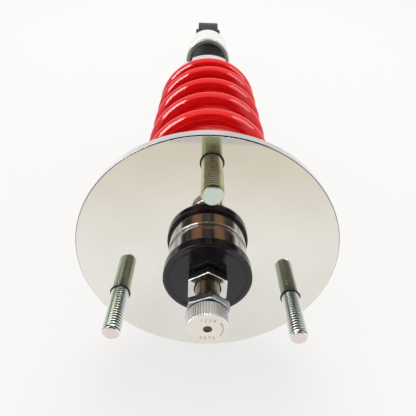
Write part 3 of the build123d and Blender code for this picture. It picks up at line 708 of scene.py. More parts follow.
def apply_modifiers(piece: Object) -> None:
    """Replaces an object's mesh by what its modifiers make of it."""
    shaped = piece.evaluated_get(bpy.context.evaluated_depsgraph_get())
    mesh = bpy.data.meshes.new_from_object(shaped)
    old, name = piece.data, piece.data.name
    piece.modifiers.clear()
    piece.data = mesh
    bpy.data.meshes.remove(old)
    mesh.name = name


def cut(piece: Object, grids: Sequence[Array], keep: str = "DIFFERENCE") -> None:
    """Cuts closed surfaces out of a piece, or joins them to it.

    Args:
        piece: The object that changes.
        grids: The closed surfaces, in millimetres.
        keep: The Boolean modifier's operation.
    """
    tools = []
    for i, grid in enumerate(grids):
        mesh = weld(f"tool_{i}", [Skin(grid, EYE_BLACK)])
        mesh.materials.clear()
        tools.append(place_new(mesh.name, mesh))
        step = piece.modifiers.new(mesh.name, "BOOLEAN")
        step.operation, step.solver, step.object = keep, "EXACT", tools[-1]
    bpy.context.view_layer.update()
    apply_modifiers(piece)
    for tool in tools:
        bpy.data.meshes.remove(tool.data)
    piece.data.set_sharp_from_angle(angle=math.radians(SHARP))


class SubAssembly:
    """A group of pieces that a mechanic would hold as one."""

    def build(self) -> list[Object]:
        """Makes the group's pieces."""
        raise NotImplementedError


@dataclass
class TopMount(SubAssembly):
    """Plate, studs, bearing housing, its cap and its snap ring.

    Each stud has a head and a shank under its thread, and its hole leaves a hair of air round
    both.
    """

    plate_r: float = 70.0
    plate_t: float = 6.0
    stud_circle: float = 56.0
    stud_r: float = 5.0
    stud_top: float = 29.7
    head_r: float = 7.0
    head_top: float = -3.5
    shank_r: float = 5.4
    shank_top: float = -0.8
    housing_r: float = 21.0
    housing_top: float = 12.6
    cap_r: float = 22.5
    cap_top: float = 18.6

    def build(self) -> list[Object]:
        """Makes the plate first, because the studs stand in its holes."""
        return [self.plate(), self.studs(), self.housing(), self.cap(), self.circlip()]

    def at_studs(self, grid: Array) -> list[Array]:
        """Copies of a grid on the axes of the three studs."""
        angles = np.radians(90.0 + 120.0 * np.arange(3))
        return [grid + polar(self.stud_circle, angle, 0.0) for angle in angles]

    def plate(self) -> Object:
        """Turned plate with three countersunk stud holes."""
        r, low, corner = self.plate_r, -self.plate_t, 0.5
        profile = outline((20.02, low), (r - corner, low), (r, low + corner), (r, -corner),
                          (r - corner, 0.0), (20.02, 0.0), fillet=0.08)
        grid = lathe(profile, 256)
        rim = np.flatnonzero(profile[:, 0] > r - corner + 0.01)
        wall = np.flatnonzero(profile[:, 0] > r - 0.01)
        # The chamfers take the dark chamfer finish: a painted dark reflection between rim and face.
        skins = split(grid, (rim[0], wall[0], wall[-1], rim[-1]),
                      (MIRROR_PLATE, DARK_CHAMFER, PLATE_EDGE, DARK_CHAMFER, MIRROR_PLATE))
        plate = Piece("top_plate_body", "top_mount", skins, ["top_plate"]).build()
        head, shank, sink = self.head_r + HAIR_MM, self.shank_r + HAIR_MM, 0.4
        cut(plate, self.at_studs(lathe([
            (0.0, low - 1.0), (head, low - 1.0), (head, self.head_top), (shank, self.head_top),
            (shank, self.shank_top), (shank + sink, 0.0), (shank + sink, 1.0), (0.0, 1.0)], 64)))
        self.paint_hole_shade(plate)
        return plate

    def paint_hole_shade(self, plate: Object) -> None:
        """Paints shade on the stud holes' walls, which stand close to the studs' axes, with the
        dark sealant finish.
        """
        mesh = plate.data
        centres, slots = np.empty(len(mesh.polygons) * 3), np.empty(len(mesh.polygons), int)
        mesh.polygons.foreach_get("center", centres)
        mesh.polygons.foreach_get("material_index", slots)
        x, y, z = centres.reshape(-1, 3).T / MM
        off = np.min([np.hypot(x - a[0], y - a[1]) for a in self.at_studs(np.zeros(3))], 0)
        near, skin = self.head_r + 0.1, 0.01
        slots[(off < near) & (z < -skin) & (z > skin - self.plate_t)] = len(mesh.materials)
        mesh.materials.append(GAP_SHADE.material())
        mesh.polygons.foreach_set("material_index", slots)

    def studs(self) -> Object:
        """Three M10 studs with pressed-in shanks, chamfered tips and a dark ring of painted shade
        round each.

        Their pitch is drawn as 1.7 mm, a little coarser than the real 1.5 mm, so that it shows.
        """
        top, chamfer = self.stud_top, 1.0
        thread = Thread(self.stud_r, 1.7, 0.0, top, (0.6, chamfer))
        shank = lathe([(0.0, -self.plate_t), (self.head_r, -self.plate_t),
                       (self.head_r, self.head_top), (self.shank_r, self.head_top),
                       (self.shank_r, self.shank_top), (4.6, self.shank_top), (4.4, 0.0)],
                      thread.segments)
        tip = lathe([(self.stud_r - chamfer, top), (3.8, top), (0.0, top)], thread.segments)
        # A dark ring round each stud's foot: painted shade in the gap, finished as sealant.
        shade_ring = lathe(outline((4.5, -0.78), (self.shank_r, -0.78), (5.72, -0.12), (4.5, -0.12),
                             fillet=0.05), thread.segments)
        return Piece("stud_threads", "top_mount", [
            Skin(grid, finish) for shape, finishes in (
                (np.concatenate([shank, thread.grid()]), (STUD_OLIVE, STUD_ZINC, STUD_ZINC)),
                (shade_ring, (GAP_SHADE, GAP_SHADE, GAP_SHADE)), (tip, (OLIVE_TIP, ZINC_TIP, ZINC_TIP)))
            for grid, finish in zip(self.at_studs(shape), finishes)], ["mount_studs"]).build()

    def housing(self) -> Object:
        """Chromed cup over the plate, undercut where it meets it."""
        r, top = self.housing_r, self.housing_top
        profile = outline((14.0, -8.0), (20.0, -8.0), (20.0, -7.5), (18.8, -7.5),
                          (18.8, -6.0), (20.0, -6.0), (20.0, 2.2), (r, 2.2, 0.8),
                          (r, top, 0.25), (16.52, top), (16.52, -3.5), (14.0, -3.5), fillet=0.1)
        return plain_piece("bearing_housing_cup", "top_mount", "bearing_housing",
                           lathe(profile, 192), HOUSING_CHROME)

    def cap(self) -> Object:
        """Black cap with a small chamfer and three fine turned lines inside it."""
        r, low, top = self.cap_r, self.housing_top, self.cap_top
        lines = [point for x in (20.3, 19.7, 19.1) for point in (
            (x, top, 0.0), (x - 0.15, top - 0.12, 0.0), (x - 0.3, top, 0.0))]
        profile = outline((9.2, low), (13.3, low), (13.3, 9.5), (16.48, 9.5), (16.48, low),
                          (r, low, 0.2), (r, top - 0.6, 0.2), (r - 0.6, top, 0.2), *lines,
                          (9.2, top, 0.35), fillet=0.1)
        return plain_piece("bearing_cap_lid", "top_mount", "bearing_cap", lathe(profile, 192),
                           CAP_BLACK)

    def circlip(self) -> Object:
        """Snap ring under the plate, open at the back, with its two plier holes."""
        back, gap = -math.pi / 2.0, math.asin(2.25 / 22.0)
        profile = outline((18.84, -7.5), (22.4, -7.5), (22.4, -6.02), (18.84, -6.02),
                          fillet=0.15)
        grid = lathe(profile, angles=np.linspace(gap, TURN - gap, 145) + back)
        ends = np.broadcast_to(grid[:, [0, -1]].mean(0), grid[:, :2].shape)
        closed = np.concatenate([ends[:, :1], grid, ends[:, 1:]], 1)
        clip = plain_piece("housing_circlip_ring", "top_mount", "housing_circlip", closed,
                           CLIP_STEEL)
        hole = lathe([(0.0, -8.0), (0.7, -8.0), (0.7, -5.0), (0.0, -5.0)], 24)
        cut(clip, [hole + polar(20.6, back + side, 0.0) for side in (-0.2, 0.2)])
        return clip


@dataclass
class RodAndNuts(SubAssembly):
    """Piston rod with its two nuts, the spring's upper seat and the bump stop."""

    low: float = -204.288
    step: float = -175.888
    shoulder: float = -19.588
    thread_low: float = 17.9
    thread_top: float = 41.6
    seat_top: float = -11.588
    spring_top: float = -14.988
    stop_low: float = -63.088

    def build(self) -> list[Object]:
        """Makes the rod and what it carries outside the damper."""
        return [self.rod(), self.nut("top_nut", NUT_STEEL, 20.2, 25.1),
                self.nut("jam_nut", BLUE_ZINC, 37.2, 41.2, -7.0), self.seat(),
                self.bump_stop()]

    def rod(self) -> Object:
        """Ground shaft with a threaded upper end and a spigot for the knob."""
        thread = Thread(6.0, 1.25, self.thread_low, self.thread_top, (0.5, 0.6))
        shaft = outline((2.05, self.low), (6.0, self.low), (6.0, self.step), (9.0, self.step),
                        (9.0, self.shoulder), (6.0, self.shoulder), (5.5, self.thread_low),
                        closed=False)
        spigot = outline((5.4, self.thread_top), (5.0, self.thread_top), (5.0, 46.9),
                         (2.05, 46.9), (2.05, self.low), fillet=0.15, closed=False)
        shaft, spigot = (lathe(profile, thread.segments) for profile in (shaft, spigot))
        return Piece("damper_rod", "rod", [
            Skin(shaft, ROD_CHROME), Skin(thread.grid(), THREAD_STEEL),
            Skin(np.concatenate([thread.grid()[-1:], spigot]), ROD_CHROME)],
            ["piston_rod"]).build()

    def nut(self, node: str, finish: Finish, low: float, high: float,
            turn: float = 0.0) -> Object:
        """Hexagon nut with coned ends, a countersunk bore and softened edges.

        At angle t the side stands at (flats / 2) / cos(t'), with t' the angle from the nearest
        flat's middle.  The 30 degree cones take the corners off.

        Args:
            node: The node that it stands for.
            finish: Its finish.
            low: Lower face's height.
            high: Upper face's height.
            turn: Degrees that it is turned from a place with corners on the Y axis.

        Returns:
            The nut.
        """
        flats, bore, cone, sink = 19.0, 6.02, 1.1, 0.7
        t = np.linspace(0.0, TURN, 73)
        side = flats / 2.0 / np.cos((t + math.pi / 6.0) % (math.pi / 3.0) - math.pi / 6.0)
        start = np.minimum(side, flats / 2.0 + cone)
        drop = (side - start) * math.tan(math.radians(30.0))
        t += math.radians(turn)
        grid = np.stack([polar(r, t, z) for r, z in (
            (bore, low + sink), (bore + sink, low), (start, low), (side, low + drop),
            (side, high - drop), (start, high), (bore + sink, high), (bore, high - sink),
            (bore, low + sink))])
        return plain_piece(f"{node}_hexagon", "rod", node, grid, finish, bevel_mm=0.18)

    def seat(self) -> Object:
        """Flange over the spring, with a pilot inside the coils and a hub."""
        top, under = self.seat_top, self.spring_top
        profile = outline((6.02, self.shoulder), (12.0, self.shoulder), (12.0, under, 0.8),
                          (26.5, under, 0.8), (26.5, under - 5.0), (31.5, under - 5.0, 0.8),
                          (31.5, under, 0.3), (46.0, under, 0.5), (46.0, top, 0.5),
                          (6.02, top), fillet=0.3)
        return plain_piece("upper_seat_flange", "rod", "upper_spring_seat",
                           lathe(profile, 160), PERCH_SILVER)

    def bump_stop(self) -> Object:
        """Foam bellows of three rings."""
        pitch, slope = 14.0, 4.2
        low, *joints = (self.stop_low + i * pitch for i in range(4))
        waves = [corner for z in joints for corner in (
            (19.0, z - pitch + slope, 2.6), (19.0, z - slope, 2.6), (15.0, z, 1.2))]
        profile = outline((9.1, low), (15.0, low, 1.0), *waves, (9.1, joints[-1]), fillet=0.5)
        return plain_piece("bump_stop_bellows", "rod", "bump_stop", lathe(profile, 96), FOAM)


@dataclass
class Adjuster(SubAssembly):
    """Knurled knob with its face and engraving.

    Attributes:
        radius: Radius over the knurl.
        low: Lower face's height.
        top: Upper face's height.
        edge: Width of its chamfers.
        teeth: Teeth of the knurl.
        tooth: Depth of the knurl.
        slope: Steepness of a tooth's flanks; over one, it leaves the crests flat.
        letter: Height of the engraved letters.
        ink: Height of the engraving's paint.
    """

    radius: float = 9.7
    low: float = 41.9
    top: float = 49.97
    edge: float = 0.4
    teeth: int = 48
    tooth: float = 0.45
    slope: float = 1.15
    letter: float = 2.5
    ink: float = 0.025

    def build(self) -> list[Object]:
        """Makes the knob and what is engraved on it."""
        return [self.knob(), self.engraving()]

    def knurl(self, t: Array, r: Array, z: Array) -> Array:
        """Straight knurl: the rim falls by a tooth's depth halfway between two crests."""
        share = (t * self.teeth / TURN) % 1.0
        valley = np.clip(1.0 - np.abs(share * 2.0 - 1.0) * self.slope, 0.0, 1.0)
        return np.minimum(r, self.radius - self.tooth * valley)

    def knob(self) -> Object:
        """Knob with a knurled rim, a flat face and a bore for the needle."""
        r, low, top, e = self.radius, self.low, self.top, self.edge
        profile = outline((5.05, low), (r - e, low), (r, low + e), (r, top - e), (r - e, top),
                          (2.02, top, 0.12), (2.02, 47.0), (5.05, 47.0), fillet=0.1)
        grid = lathe(profile, self.teeth * 6, warp=self.knurl)
        face = np.flatnonzero((profile[:, 1] > top - TINY) & (profile[:, 0] < r - e))
        skins = split(grid, (face[0], face[-1]), (KNOB_RIM, KNOB_FACE, KNOB_FACE))
        return Piece("adjuster_knob_body", "knob", skins, ["adjuster_knob"], sharp=24.0).build()

    def engraving(self) -> Object:
        """Plain numbers round the face and a curved arrow, as thin filled letters."""
        work = bmesh.new()
        for mark in (self._mark("1 2 3 4", 5.2), self._mark("5 6 7 8", -5.4), self._arrow()):
            work.from_mesh(mark)
            bpy.data.meshes.remove(mark)
        mesh = bpy.data.meshes.new("knob_engraving")
        work.to_mesh(mesh)
        work.free()
        mesh.materials.append(ENGRAVING.material())
        piece = place_new("knob_engraving", mesh)
        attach(piece, "knob")
        return piece

    def _mark(self, text: str, y: float) -> bpy.types.Mesh:
        """One line of text as a mesh that lies on the face, its middle at a place along Y."""
        curve = bpy.data.curves.new(text, "FONT")
        curve.body, curve.size, curve.extrude = text, self.letter * MM, 0.013 * MM
        curve.align_x, curve.align_y, curve.offset = "CENTER", "CENTER", 0.03 * MM
        holder = bpy.data.objects.new(text, curve)
        mesh = bpy.data.meshes.new_from_object(holder)
        mesh.transform(Matrix.Translation(Vector((0.0, y, self.top + 0.012)) * MM))
        bpy.data.objects.remove(holder)
        bpy.data.curves.remove(curve)
        return mesh

    def _arrow(self) -> bpy.types.Mesh:
        """Curved arrow at the face's right: a flat arc with a head."""
        arc = np.radians(np.linspace(-38.0, 26.0, 20))
        inner, outer, head = 6.6, 7.1, polar((7.7, 6.85, 6.0), (0.45, 0.68, 0.45), self.top)
        flat = [*polar(outer, arc, self.top), *head, *polar(inner, arc[::-1], self.top)]
        work = bmesh.new()
        face = work.faces.new([work.verts.new(point * MM) for point in flat])
        lifted = bmesh.ops.extrude_face_region(work, geom=[face])["geom"]
        bmesh.ops.translate(work, vec=(0.0, 0.0, self.ink * MM),
                            verts=[v for v in lifted if isinstance(v, bmesh.types.BMVert)])
        bmesh.ops.recalc_face_normals(work, faces=work.faces)
        mesh = bpy.data.meshes.new("arrow")
        work.to_mesh(mesh)
        work.free()
        return mesh


@dataclass
class MainSpring(SubAssembly):
    """Cold-wound spring with closed and ground ends.

    Attributes:
        wire: Wire diameter.
        coil: Radius of the wire's centre line.
        low: Height of its lower ground face.
        length: Free length.
        stroke: How much of it the damper's stroke takes up; not used.
        active: Quarter turns at the full pitch.
        gap: Air between an end coil and the coil beside it.
        tip: Height of a tip's centre over its ground face, as a share of the wire.
        closed: Each quarter's share of the closed end's pitch.
        steps: Points in each quarter turn.
        around: Columns round the wire.
    """

    wire: float = 13.5
    coil: float = 39.25
    low: float = -244.988
    length: float = 230.0
    stroke: float = 80.0
    active: int = 21
    gap: float = 0.7
    tip: float = 0.125
    closed: tuple[float, ...] = (0.21, 0.24, 0.26, 0.29)
    steps: int = 56
    around: int = 40

    def rises(self) -> Array:
        """Rise of each quarter turn, from the lower tip to the upper one.

        The end coils climb by one wire and a gap; one quarter eases into the full pitch, which
        takes up what is left of the length.
        """
        pitch = self.wire + self.gap
        ends = np.array(self.closed) * pitch
        span = self.length - 2.0 * self.tip * self.wire
        full = (span - 2.0 * pitch - ends[-1]) / (self.active + 1)
        ease = (ends[-1] + full) / 2.0
        return np.concatenate([ends, [ease], np.full(self.active, full), [ease], ends[::-1]])

    def path(self) -> Array:
        """Centre line: radius constant, angle even, height a cubic through the quarters.

        Each quarter is a Hermite cubic whose end slopes are the mean of the two rises there.
        """
        rises = self.rises()
        heights = self.low + self.tip * self.wire + np.concatenate([[0.0], np.cumsum(rises)])
        slopes = np.concatenate([rises[:1], (rises[1:] + rises[:-1]) / 2.0, rises[-1:]])
        u = np.linspace(0.0, len(rises), len(rises) * self.steps + 1)
        i = np.minimum(u.astype(int), len(rises) - 1)
        s = u - i
        z = (heights[i] * (1 + 2 * s) * (1 - s) ** 2 + slopes[i] * s * (1 - s) ** 2
             + heights[i + 1] * s * s * (3 - 2 * s) + slopes[i + 1] * s * s * (s - 1))
        return polar(self.coil, math.pi / 2.0 * (1.0 + u - len(rises)), z)

    def build(self) -> list[Object]:
        """Sweeps the wire, grinds its ends flat and gives the spring a mesh of its own."""
        skin = tube(self.path(), self.wire / 2.0, self.around)
        skin[..., 2] = np.clip(skin[..., 2], self.low, self.low + self.length - HAIR_MM)
        spring = plain_piece("main_spring_coils", "spring_carrier", "main_spring", skin,
                             SPRING_RED)
        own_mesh(spring)
        return [spring]


@dataclass
class Body(SubAssembly):
    """Threaded damper body."""

    low: float = -435.088
    top: float = -145.088
    thread_top: float = -199.0

    def build(self) -> list[Object]:
        """Makes the tube: a plain upper end, a relief and the perches' thread."""
        thread = Thread(23.0, 2.0, self.low, self.thread_top, (1.2, 1.2), 72)
        upper = outline((21.8, self.thread_top), (21.8, self.thread_top + 2.0),
                        (23.0, self.thread_top + 3.2), (23.0, self.top, 1.2),
                        (18.0, self.top, 0.3), (18.0, self.low), closed=False)
        skin = np.concatenate([lathe([(18.0, self.low)], thread.segments), thread.grid(),
                               lathe(upper, thread.segments)])
        return [plain_piece("damper_body", "damper", "damper_tube", skin, BODY_BLACK)]


@dataclass
class Collar:
    """A ring on the body's thread, with spanner slots in its rim.

    Attributes:
        node: The node that it stands for.
        body: The body that it rides.
        radius: The rim's radius.
        low: Lower face's height.
        top: Upper face's height.
        edge: Width of its chamfers.
        finish: Its finish.
        slots: Its slots, if any.
        pilot: Radius and top of a raised pilot, if any.
        bore: Radius of its bore.
    """

    node: str
    body: str
    radius: float
    low: float
    top: float
    edge: float
    finish: Finish
    slots: Optional[Slots] = None
    pilot: Optional[Corner] = None
    bore: float = 23.05

    def build(self) -> Object:
        """Turns the ring with its slots."""
        r, low, top, e = self.radius, self.low, self.top, self.edge
        corners = [(self.bore, low, 0.4), (r - e, low), (r, low + e), (r, top - e),
                   (r - e, top)]
        if self.slots and self.slots.top < top:
            split = self.slots.top
            corners[3:3] = [(r, split - 0.02, 0.0), (r, split, 0.0)]
        if self.pilot:
            corners += [(self.pilot[0], top, 0.4), (*self.pilot, 0.8),
                        (self.bore, self.pilot[1])]
        else:
            corners += [(self.bore, top, 0.4)]
        angles = self.slots.angles() if self.slots else None
        grid = lathe(outline(*corners, fillet=0.25), angles=angles, warp=self.slots)
        return plain_piece(f"{self.node}_turned", self.body, self.node, grid, self.finish)


@dataclass
class PerchAndRings(SubAssembly):
    """Spring perch, its slip ring and the lock rings."""

    def build(self) -> list[Object]:
        """Makes the collars from the top down."""
        return [collar.build() for collar in (
            Collar("perch_slip_ring", "spring_carrier", 40.0, -246.988 + HAIR_MM, -244.988,
                   0.3, WASHER, bore=31.8),
            Collar("spring_perch", "perch", 40.0, -263.988, -246.988, 1.0, PERCH_SILVER,
                   Slots(40.0, 60.0, -248.988), (31.5, -237.988)),
            Collar("perch_lock_ring", "perch", 39.0, -276.988, -263.988, 1.0, PERCH_SILVER,
                   Slots(39.0, 60.0)),
            Collar("bracket_lock_ring", "lock_ring", 28.0, -409.088 + HAIR_MM, -401.088, 1.0,
                   RING_GREY, Slots(28.0, 75.0, -402.688)))]


@dataclass
class LowerMount(SubAssembly):
    """Bracket, eye and rubber bush."""

    bracket_top: float = -409.088
    bracket_low: float = -466.088
    eye: float = -522.088

    def build(self) -> list[Object]:
        """Makes the bracket, the eye and the bush's three layers."""
        return [self.bracket(), self.eye_forging(), *self.bush()]

    def along_x(self, profile: Any, segments: int = 128) -> Array:
        """Turns an outline about the eye's axis, which runs along X."""
        return lathe(profile, segments)[..., [2, 0, 1]] + (0.0, 0.0, self.eye)

    def bracket(self) -> Object:
        """Turned socket with a groove near its upper end."""
        low, top = self.bracket_low, self.bracket_top
        profile = outline((10.02, low), (28.0, low, 1.2), (28.0, top - 1.2, 0.3),
                          (26.8, top, 0.3), (23.05, top, 0.5), (23.05, low + 10.0),
                          (10.02, low + 10.0), fillet=0.25)
        return plain_piece("lower_bracket_socket", "lower_mount", "lower_bracket",
                           lathe(profile), BRACKET_SILVER)

    def eye_forging(self) -> Object:
        """Barrel and neck melted into one forging, then bored."""
        low = self.bracket_low
        neck = outline((0.0, self.eye), (13.2, self.eye), (13.2, self.eye + 26.0, 3.0),
                       (21.6, low - 4.4, 2.0), (22.0, low, 0.6), (10.0, low, 0.1),
                       (10.0, low + 7.0, 0.3), (0.0, low + 7.0), closed=False)
        barrel = outline((0.0, -14.4), (26.8, -14.4, 1.6), (26.8, 14.4, 1.6), (0.0, 14.4),
                         closed=False)
        bore = [(0.0, -30.0), (20.0, -30.0), (20.0, 30.0), (0.0, 30.0)]
        forging = plain_piece("lower_eye_forging", "lower_mount", "lower_eye", lathe(neck, 96),
                              EYE_BLACK)
        cut(forging, [self.along_x(barrel)], "UNION")
        cut(forging, [self.along_x(bore)])
        return forging

    def bush(self) -> list[Object]:
        """Steel shell, rubber with a lip bulging at each side, and a sleeve round the bolt."""
        lip = [(18.42, 12.9, 0.6), (16.6, 14.0, 0.6), (18.0, 16.2, 0.8), (16.5, 18.0, 1.0),
               (12.5, 17.2, 1.5), (9.06, 17.6, 0.3)]
        rubber = outline(*lip, *((r, -x, fillet) for r, x, fillet in reversed(lip)))
        shell, sleeve = (outline((bore, -half), (r, -half), (r, half), (bore, half),
                                 fillet=fillet)
                         for bore, r, half, fillet in (
                             (18.48, 19.98, 14.5, 0.3), (6.05, 9.0, 18.5, 0.35)))
        return [plain_piece(name, body, node, self.along_x(profile, 96), finish)
                for name, body, node, profile, finish in (
                    ("bush_shell_ring", "lower_mount", "bush_shell", shell, NUT_STEEL),
                    ("eye_bush_rubber", "lower_mount", "eye_bush", rubber, RUBBER),
                    ("eye_sleeve_tube", "lower_sleeve", "eye_sleeve", sleeve, NUT_STEEL))]


# ---------------------------------------------------------------------------- inner pieces
KEPT_NODES: dict[str, Finish] = {
    "bearing_race": BEARING_STEEL, "bearing_ball": BEARING_STEEL,
    "upper_spacer": NUT_STEEL, "lower_spacer": NUT_STEEL, "bump_stop_cup": CLIP_STEEL,
    "piston": PISTON_METAL, "piston_band": BAND, "compression_shims": BEARING_STEEL,
    "rebound_shims": BEARING_STEEL, "piston_nut": NUT_STEEL, "knob_grub_screw": CLIP_STEEL,
    "adjuster_needle": CLIP_STEEL, "seal_head": PISTON_METAL, "wiper_seal": SEAL,
    "rod_seal": SEAL, "base_plug": PISTON_METAL, "gas_screw": NUT_STEEL,
    "floating_piston": PISTON_METAL, "floating_piston_band": BAND,
}


def finish_kept_nodes() -> None:
    """Gives each CAD node that stays on show its finish."""
    for name, finish in KEPT_NODES.items():
        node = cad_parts[name]
        node.data.materials.clear()
        node.data.materials.append(finish.material())


# ---------------------------------------------------------------------------- stage
@dataclass(frozen=True)
class Lamp:
    """One flat lamp that faces the top coils, its length level.

    Attributes:
        turn: Its direction about the strut's axis, in degrees.
        height: Its direction over the level, in degrees.
        reach: Its distance in metres.
        length: Its length in metres.
        width: Its width in metres.
        power: Its power in watts.
        lights: Whether it lights matt surfaces.
        shows: Whether mirrors show it.
        faces: The height that it faces on the strut's axis, in metres.
    """

    turn: float
    height: float
    reach: float
    length: float
    width: float
    power: float
    lights: bool = True
    shows: bool = True
    faces: float = -0.05

    def build(self, name: str) -> Object:
        """Makes the lamp under a name."""
        light = bpy.data.lights.new(name, "AREA")
        light.shape, light.energy = "RECTANGLE", self.power
        light.size, light.size_y = self.length, self.width
        lamp = place_new(name, light)
        t, h = math.radians(self.turn), math.radians(self.height)
        way = Vector((math.cos(t) * math.cos(h), math.sin(t) * math.cos(h), math.sin(h)))
        across = Vector((0.0, 0.0, 1.0)).cross(way).normalized()
        lamp.location = Vector((0.0, 0.0, self.faces)) + way * self.reach
        lamp.rotation_euler = Matrix((across, way.cross(across), way)).transposed().to_euler()
        lamp.visible_diffuse, lamp.visible_glossy = self.lights, self.shows
        return lamp


@dataclass
class Stage:
    """White table, soft world, lamps and the camera.

    The strut lies on the table on its plate's edge and its eye, so the table leans a little from
    the strut's axis.

    Attributes:
        edge: (Y, Z) of the plate's edge on the table, in millimetres.
        eye: (radius, Z) of the eye that rests on the table.
        half: Half the table's width, in metres.
        table: The table's colour.
        far_table: The table's colour beyond the knob, which only mirrors show: painted shade.
        shade: Heights between which that shade grows, in metres.
        mirror_dark_band: A darker tone past a height, which only mirrors show: a painted dark band
            in their reflection.
        end: Heights between which that band comes in, in metres.
        glow: Share of the table's tone, as cameras and mirrors see it, that no shadow takes.
        white: The world as cameras see it, and the tent over the strut.
        room: Dark and light tones of the room behind the tent's opening.
        glint: Colour of two warm spots in the opening.
        floor: The world's tone from below.
        lamps: Two panels that only show, a soft one that only lights, and one over the knob.
        place: The camera's place in metres.
        aim: Its direction of view.
        up: Its upward direction.
        lens: Its focal length for a sensor 36 mm wide.
    """

    edge: Corner = (-70.0, -6.0)
    eye: Corner = (27.0, -522.088)
    half: float = 4.0
    table: str = "#f6f6f5"
    far_table: str = "#e2dbce"
    shade: Corner = (0.06, 0.35)
    mirror_dark_band: str = "#c9c6c8"
    end: Corner = (0.366, 0.37)
    glow: float = 0.8
    white: str = "#ffffff"
    room: tuple[str, str] = ("#1d1b1d", "#6a625d")
    glint: str = "#936e56"
    floor: str = "#d4d4d4"
    lamps: Sequence[Lamp] = (
        Lamp(38.0, -8.0, 0.9, 0.5, 0.4, 2.6, lights=False),
        Lamp(134.0, -1.0, 0.9, 0.6, 0.42, 10.5, lights=False),
        Lamp(90.0, -24.0, 1.5, 1.2, 1.2, 16.0, shows=False),
        Lamp(-90.0, 88.0, 1.2, 0.5, 0.5, 4.0))
    place: tuple[float, float, float] = (-0.00564, 0.14771, 0.18032)
    aim: tuple[float, float, float] = (0.02177, -0.54297, -0.83947)
    up: tuple[float, float, float] = (-0.03216, 0.83887, -0.54341)
    lens: float = 37.44

    def build(self) -> None:
        """Makes the table, the lamps, the world and the camera."""
        self.table_top()
        self.world_light()
        for i, lamp in enumerate(self.lamps):
            lamp.build(f"lamp_{i}")
        self.camera()

    def lean(self) -> float:
        """The table's angle from the strut's axis, where it touches the edge and the eye."""
        run, drop = self.edge[1] - self.eye[1], -self.edge[0]
        reach = math.hypot(run, drop)
        return math.asin(drop / reach) - math.asin(self.eye[0] / reach)

    def table_top(self) -> Object:
        """Large flat table, which follows the strut's tilt, so that the strut keeps lying on it."""
        lean, half = self.lean(), self.half
        origin = Vector((0.0, *self.edge)) * MM
        across, along = Vector((1, 0, 0)), Vector((0, -math.sin(lean), math.cos(lean)))
        mesh = bpy.data.meshes.new("table")
        mesh.from_pydata([origin + across * x + along * y for x, y in (
            (-half, -half), (-half, half), (half, half), (half, -half))], [], [(0, 1, 2, 3)])
        mesh.materials.append(self._table_white())
        table = place_new("table", mesh)
        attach(table, "rod")
        table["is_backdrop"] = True
        return table

    def _table_white(self) -> bpy.types.Material:
        """Matt white paper, with painted shade and a painted dark band far off that only mirrors
        see, open to a camera behind it.
        """
        material = bpy.data.materials.new("white_paper")
        tree = empty_tree(material)
        height = one_axis(tree, add_node(tree, "TexCoord").outputs["Object"], 2)
        # Painted shade and a painted dark band far off on the table, in a tone that only glossy
        # rays see.
        tone = mix(tree, map_range(tree, height, *self.shade, smooth=True), self.table,
                   self.far_table)
        tone = mix(tree, map_range(tree, height, *self.end), tone, self.mirror_dark_band)
        rays = add_node(tree, "LightPath").outputs
        camera, glossy = rays["Is Camera Ray"], rays["Is Glossy Ray"]
        tone = mix(tree, glossy, self.table, tone)
        paper = add_node(tree, "BsdfDiffuse", {"Color": tone}).outputs["BSDF"]
        even = add_node(tree, "Emission", {"Color": tone}).outputs["Emission"]
        clear = add_node(tree, "BsdfTransparent").outputs["BSDF"]
        share = number_step(tree, "MULTIPLY", number_step(tree, "ADD", camera, glossy),
                            self.glow)
        front = add_node(tree, "MixShader", {"Fac": share, 1: paper, 2: even})
        back = add_node(tree, "NewGeometry").outputs["Backfacing"]
        both = add_node(tree, "MixShader", {
            "Fac": number_step(tree, "MULTIPLY", back, camera), 1: front.outputs["Shader"],
            2: clear})
        add_node(tree, "OutputMaterial", {"Surface": both.outputs["Shader"]})
        return material

    def world_light(self) -> None:
        """White tent with a dim round opening over the plate, which no camera sees."""
        world = bpy.data.worlds.new("tent")
        bpy.context.scene.world = world
        tree = empty_tree(world)
        way = add_node(tree, "TexCoord").outputs["Generated"]

        def spot(centre: Sequence[float], inner: float, outer: float) -> Socket:
            """Share of a round spot: one inside the inner angle, none past the outer."""
            dot = vector_step(tree, "DOT_PRODUCT", way, Vector(centre).normalized())
            return map_range(tree, dot, math.cos(math.radians(outer)),
                             math.cos(math.radians(inner)), smooth=True)

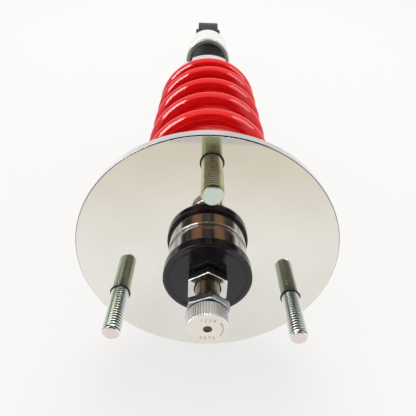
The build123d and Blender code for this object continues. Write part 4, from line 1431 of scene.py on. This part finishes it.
        clutter = map_range(tree, noise(tree, way, 1.0 / 7.0, 3.0), 0.4, 0.7)
        colour = mix(tree, spot((0.0, 0.55, 0.83), 43.0, 52.0), self.white,
                     mix(tree, clutter, *self.room))
        for side in (-0.32, 0.32):
            colour = mix(tree, spot((side, 0.48, 0.81), 0.0, 13.0), colour, self.glint)
        below = map_range(tree, one_axis(tree, way, 2), -0.2, -0.7)
        colour = mix(tree, below, colour, self.floor)
        rays = add_node(tree, "LightPath").outputs
        share = number_step(tree, "ADD", rays["Is Diffuse Ray"], rays["Is Glossy Ray"])
        light = add_node(tree, "Background", {
            "Strength": 1.0, "Color": mix(tree, share, self.white, colour)})
        add_node(tree, "OutputWorld", {"Surface": light.outputs["Background"]})

    def camera(self) -> Object:
        """Camera over the knob, looking down along the strut."""
        lens = bpy.data.cameras.new("camera")
        lens.lens, lens.sensor_width = self.lens, 36.0
        camera = place_new("camera", lens)
        back, up = -Vector(self.aim).normalized(), Vector(self.up).normalized()
        turn = Matrix((up.cross(back), up, back)).transposed().to_4x4()
        camera.matrix_world = Matrix.Translation(Vector(self.place)) @ turn
        bpy.context.scene.camera = camera
        return camera


# ---------------------------------------------------------------------------- whole scene
@dataclass
class Coilover:
    """The strut, built from its sub-assemblies in the order that a mechanic would."""

    parts: Sequence[SubAssembly] = field(default_factory=lambda: [
        TopMount(), RodAndNuts(), Adjuster(), Body(), PerchAndRings(), MainSpring(),
        LowerMount()])

    def build(self) -> int:
        """Builds every piece and returns how many there are."""
        count = 0
        for part in self.parts:
            made = part.build()
            count += len(made)
            LOG.info("%s: %d pieces", type(part).__name__, len(made))
        finish_kept_nodes()
        return count


def plain_lists(bounds: Any) -> list[Any]:
    """Bounds as plain nested lists."""
    return json.loads(json.dumps(bounds, default=list))


def main() -> None:
    """Sets the view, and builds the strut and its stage."""
    logging.basicConfig(level=logging.INFO, format="%(name)s %(message)s")
    bpy.context.scene.view_settings.view_transform = "Standard"
    LOG.info("%d pieces", Coilover().build())
    Stage().build()
    {"cad": plain_lists(CAD_BOX), "visual": plain_lists(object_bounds())}


if __name__ == "__main__":
    main()
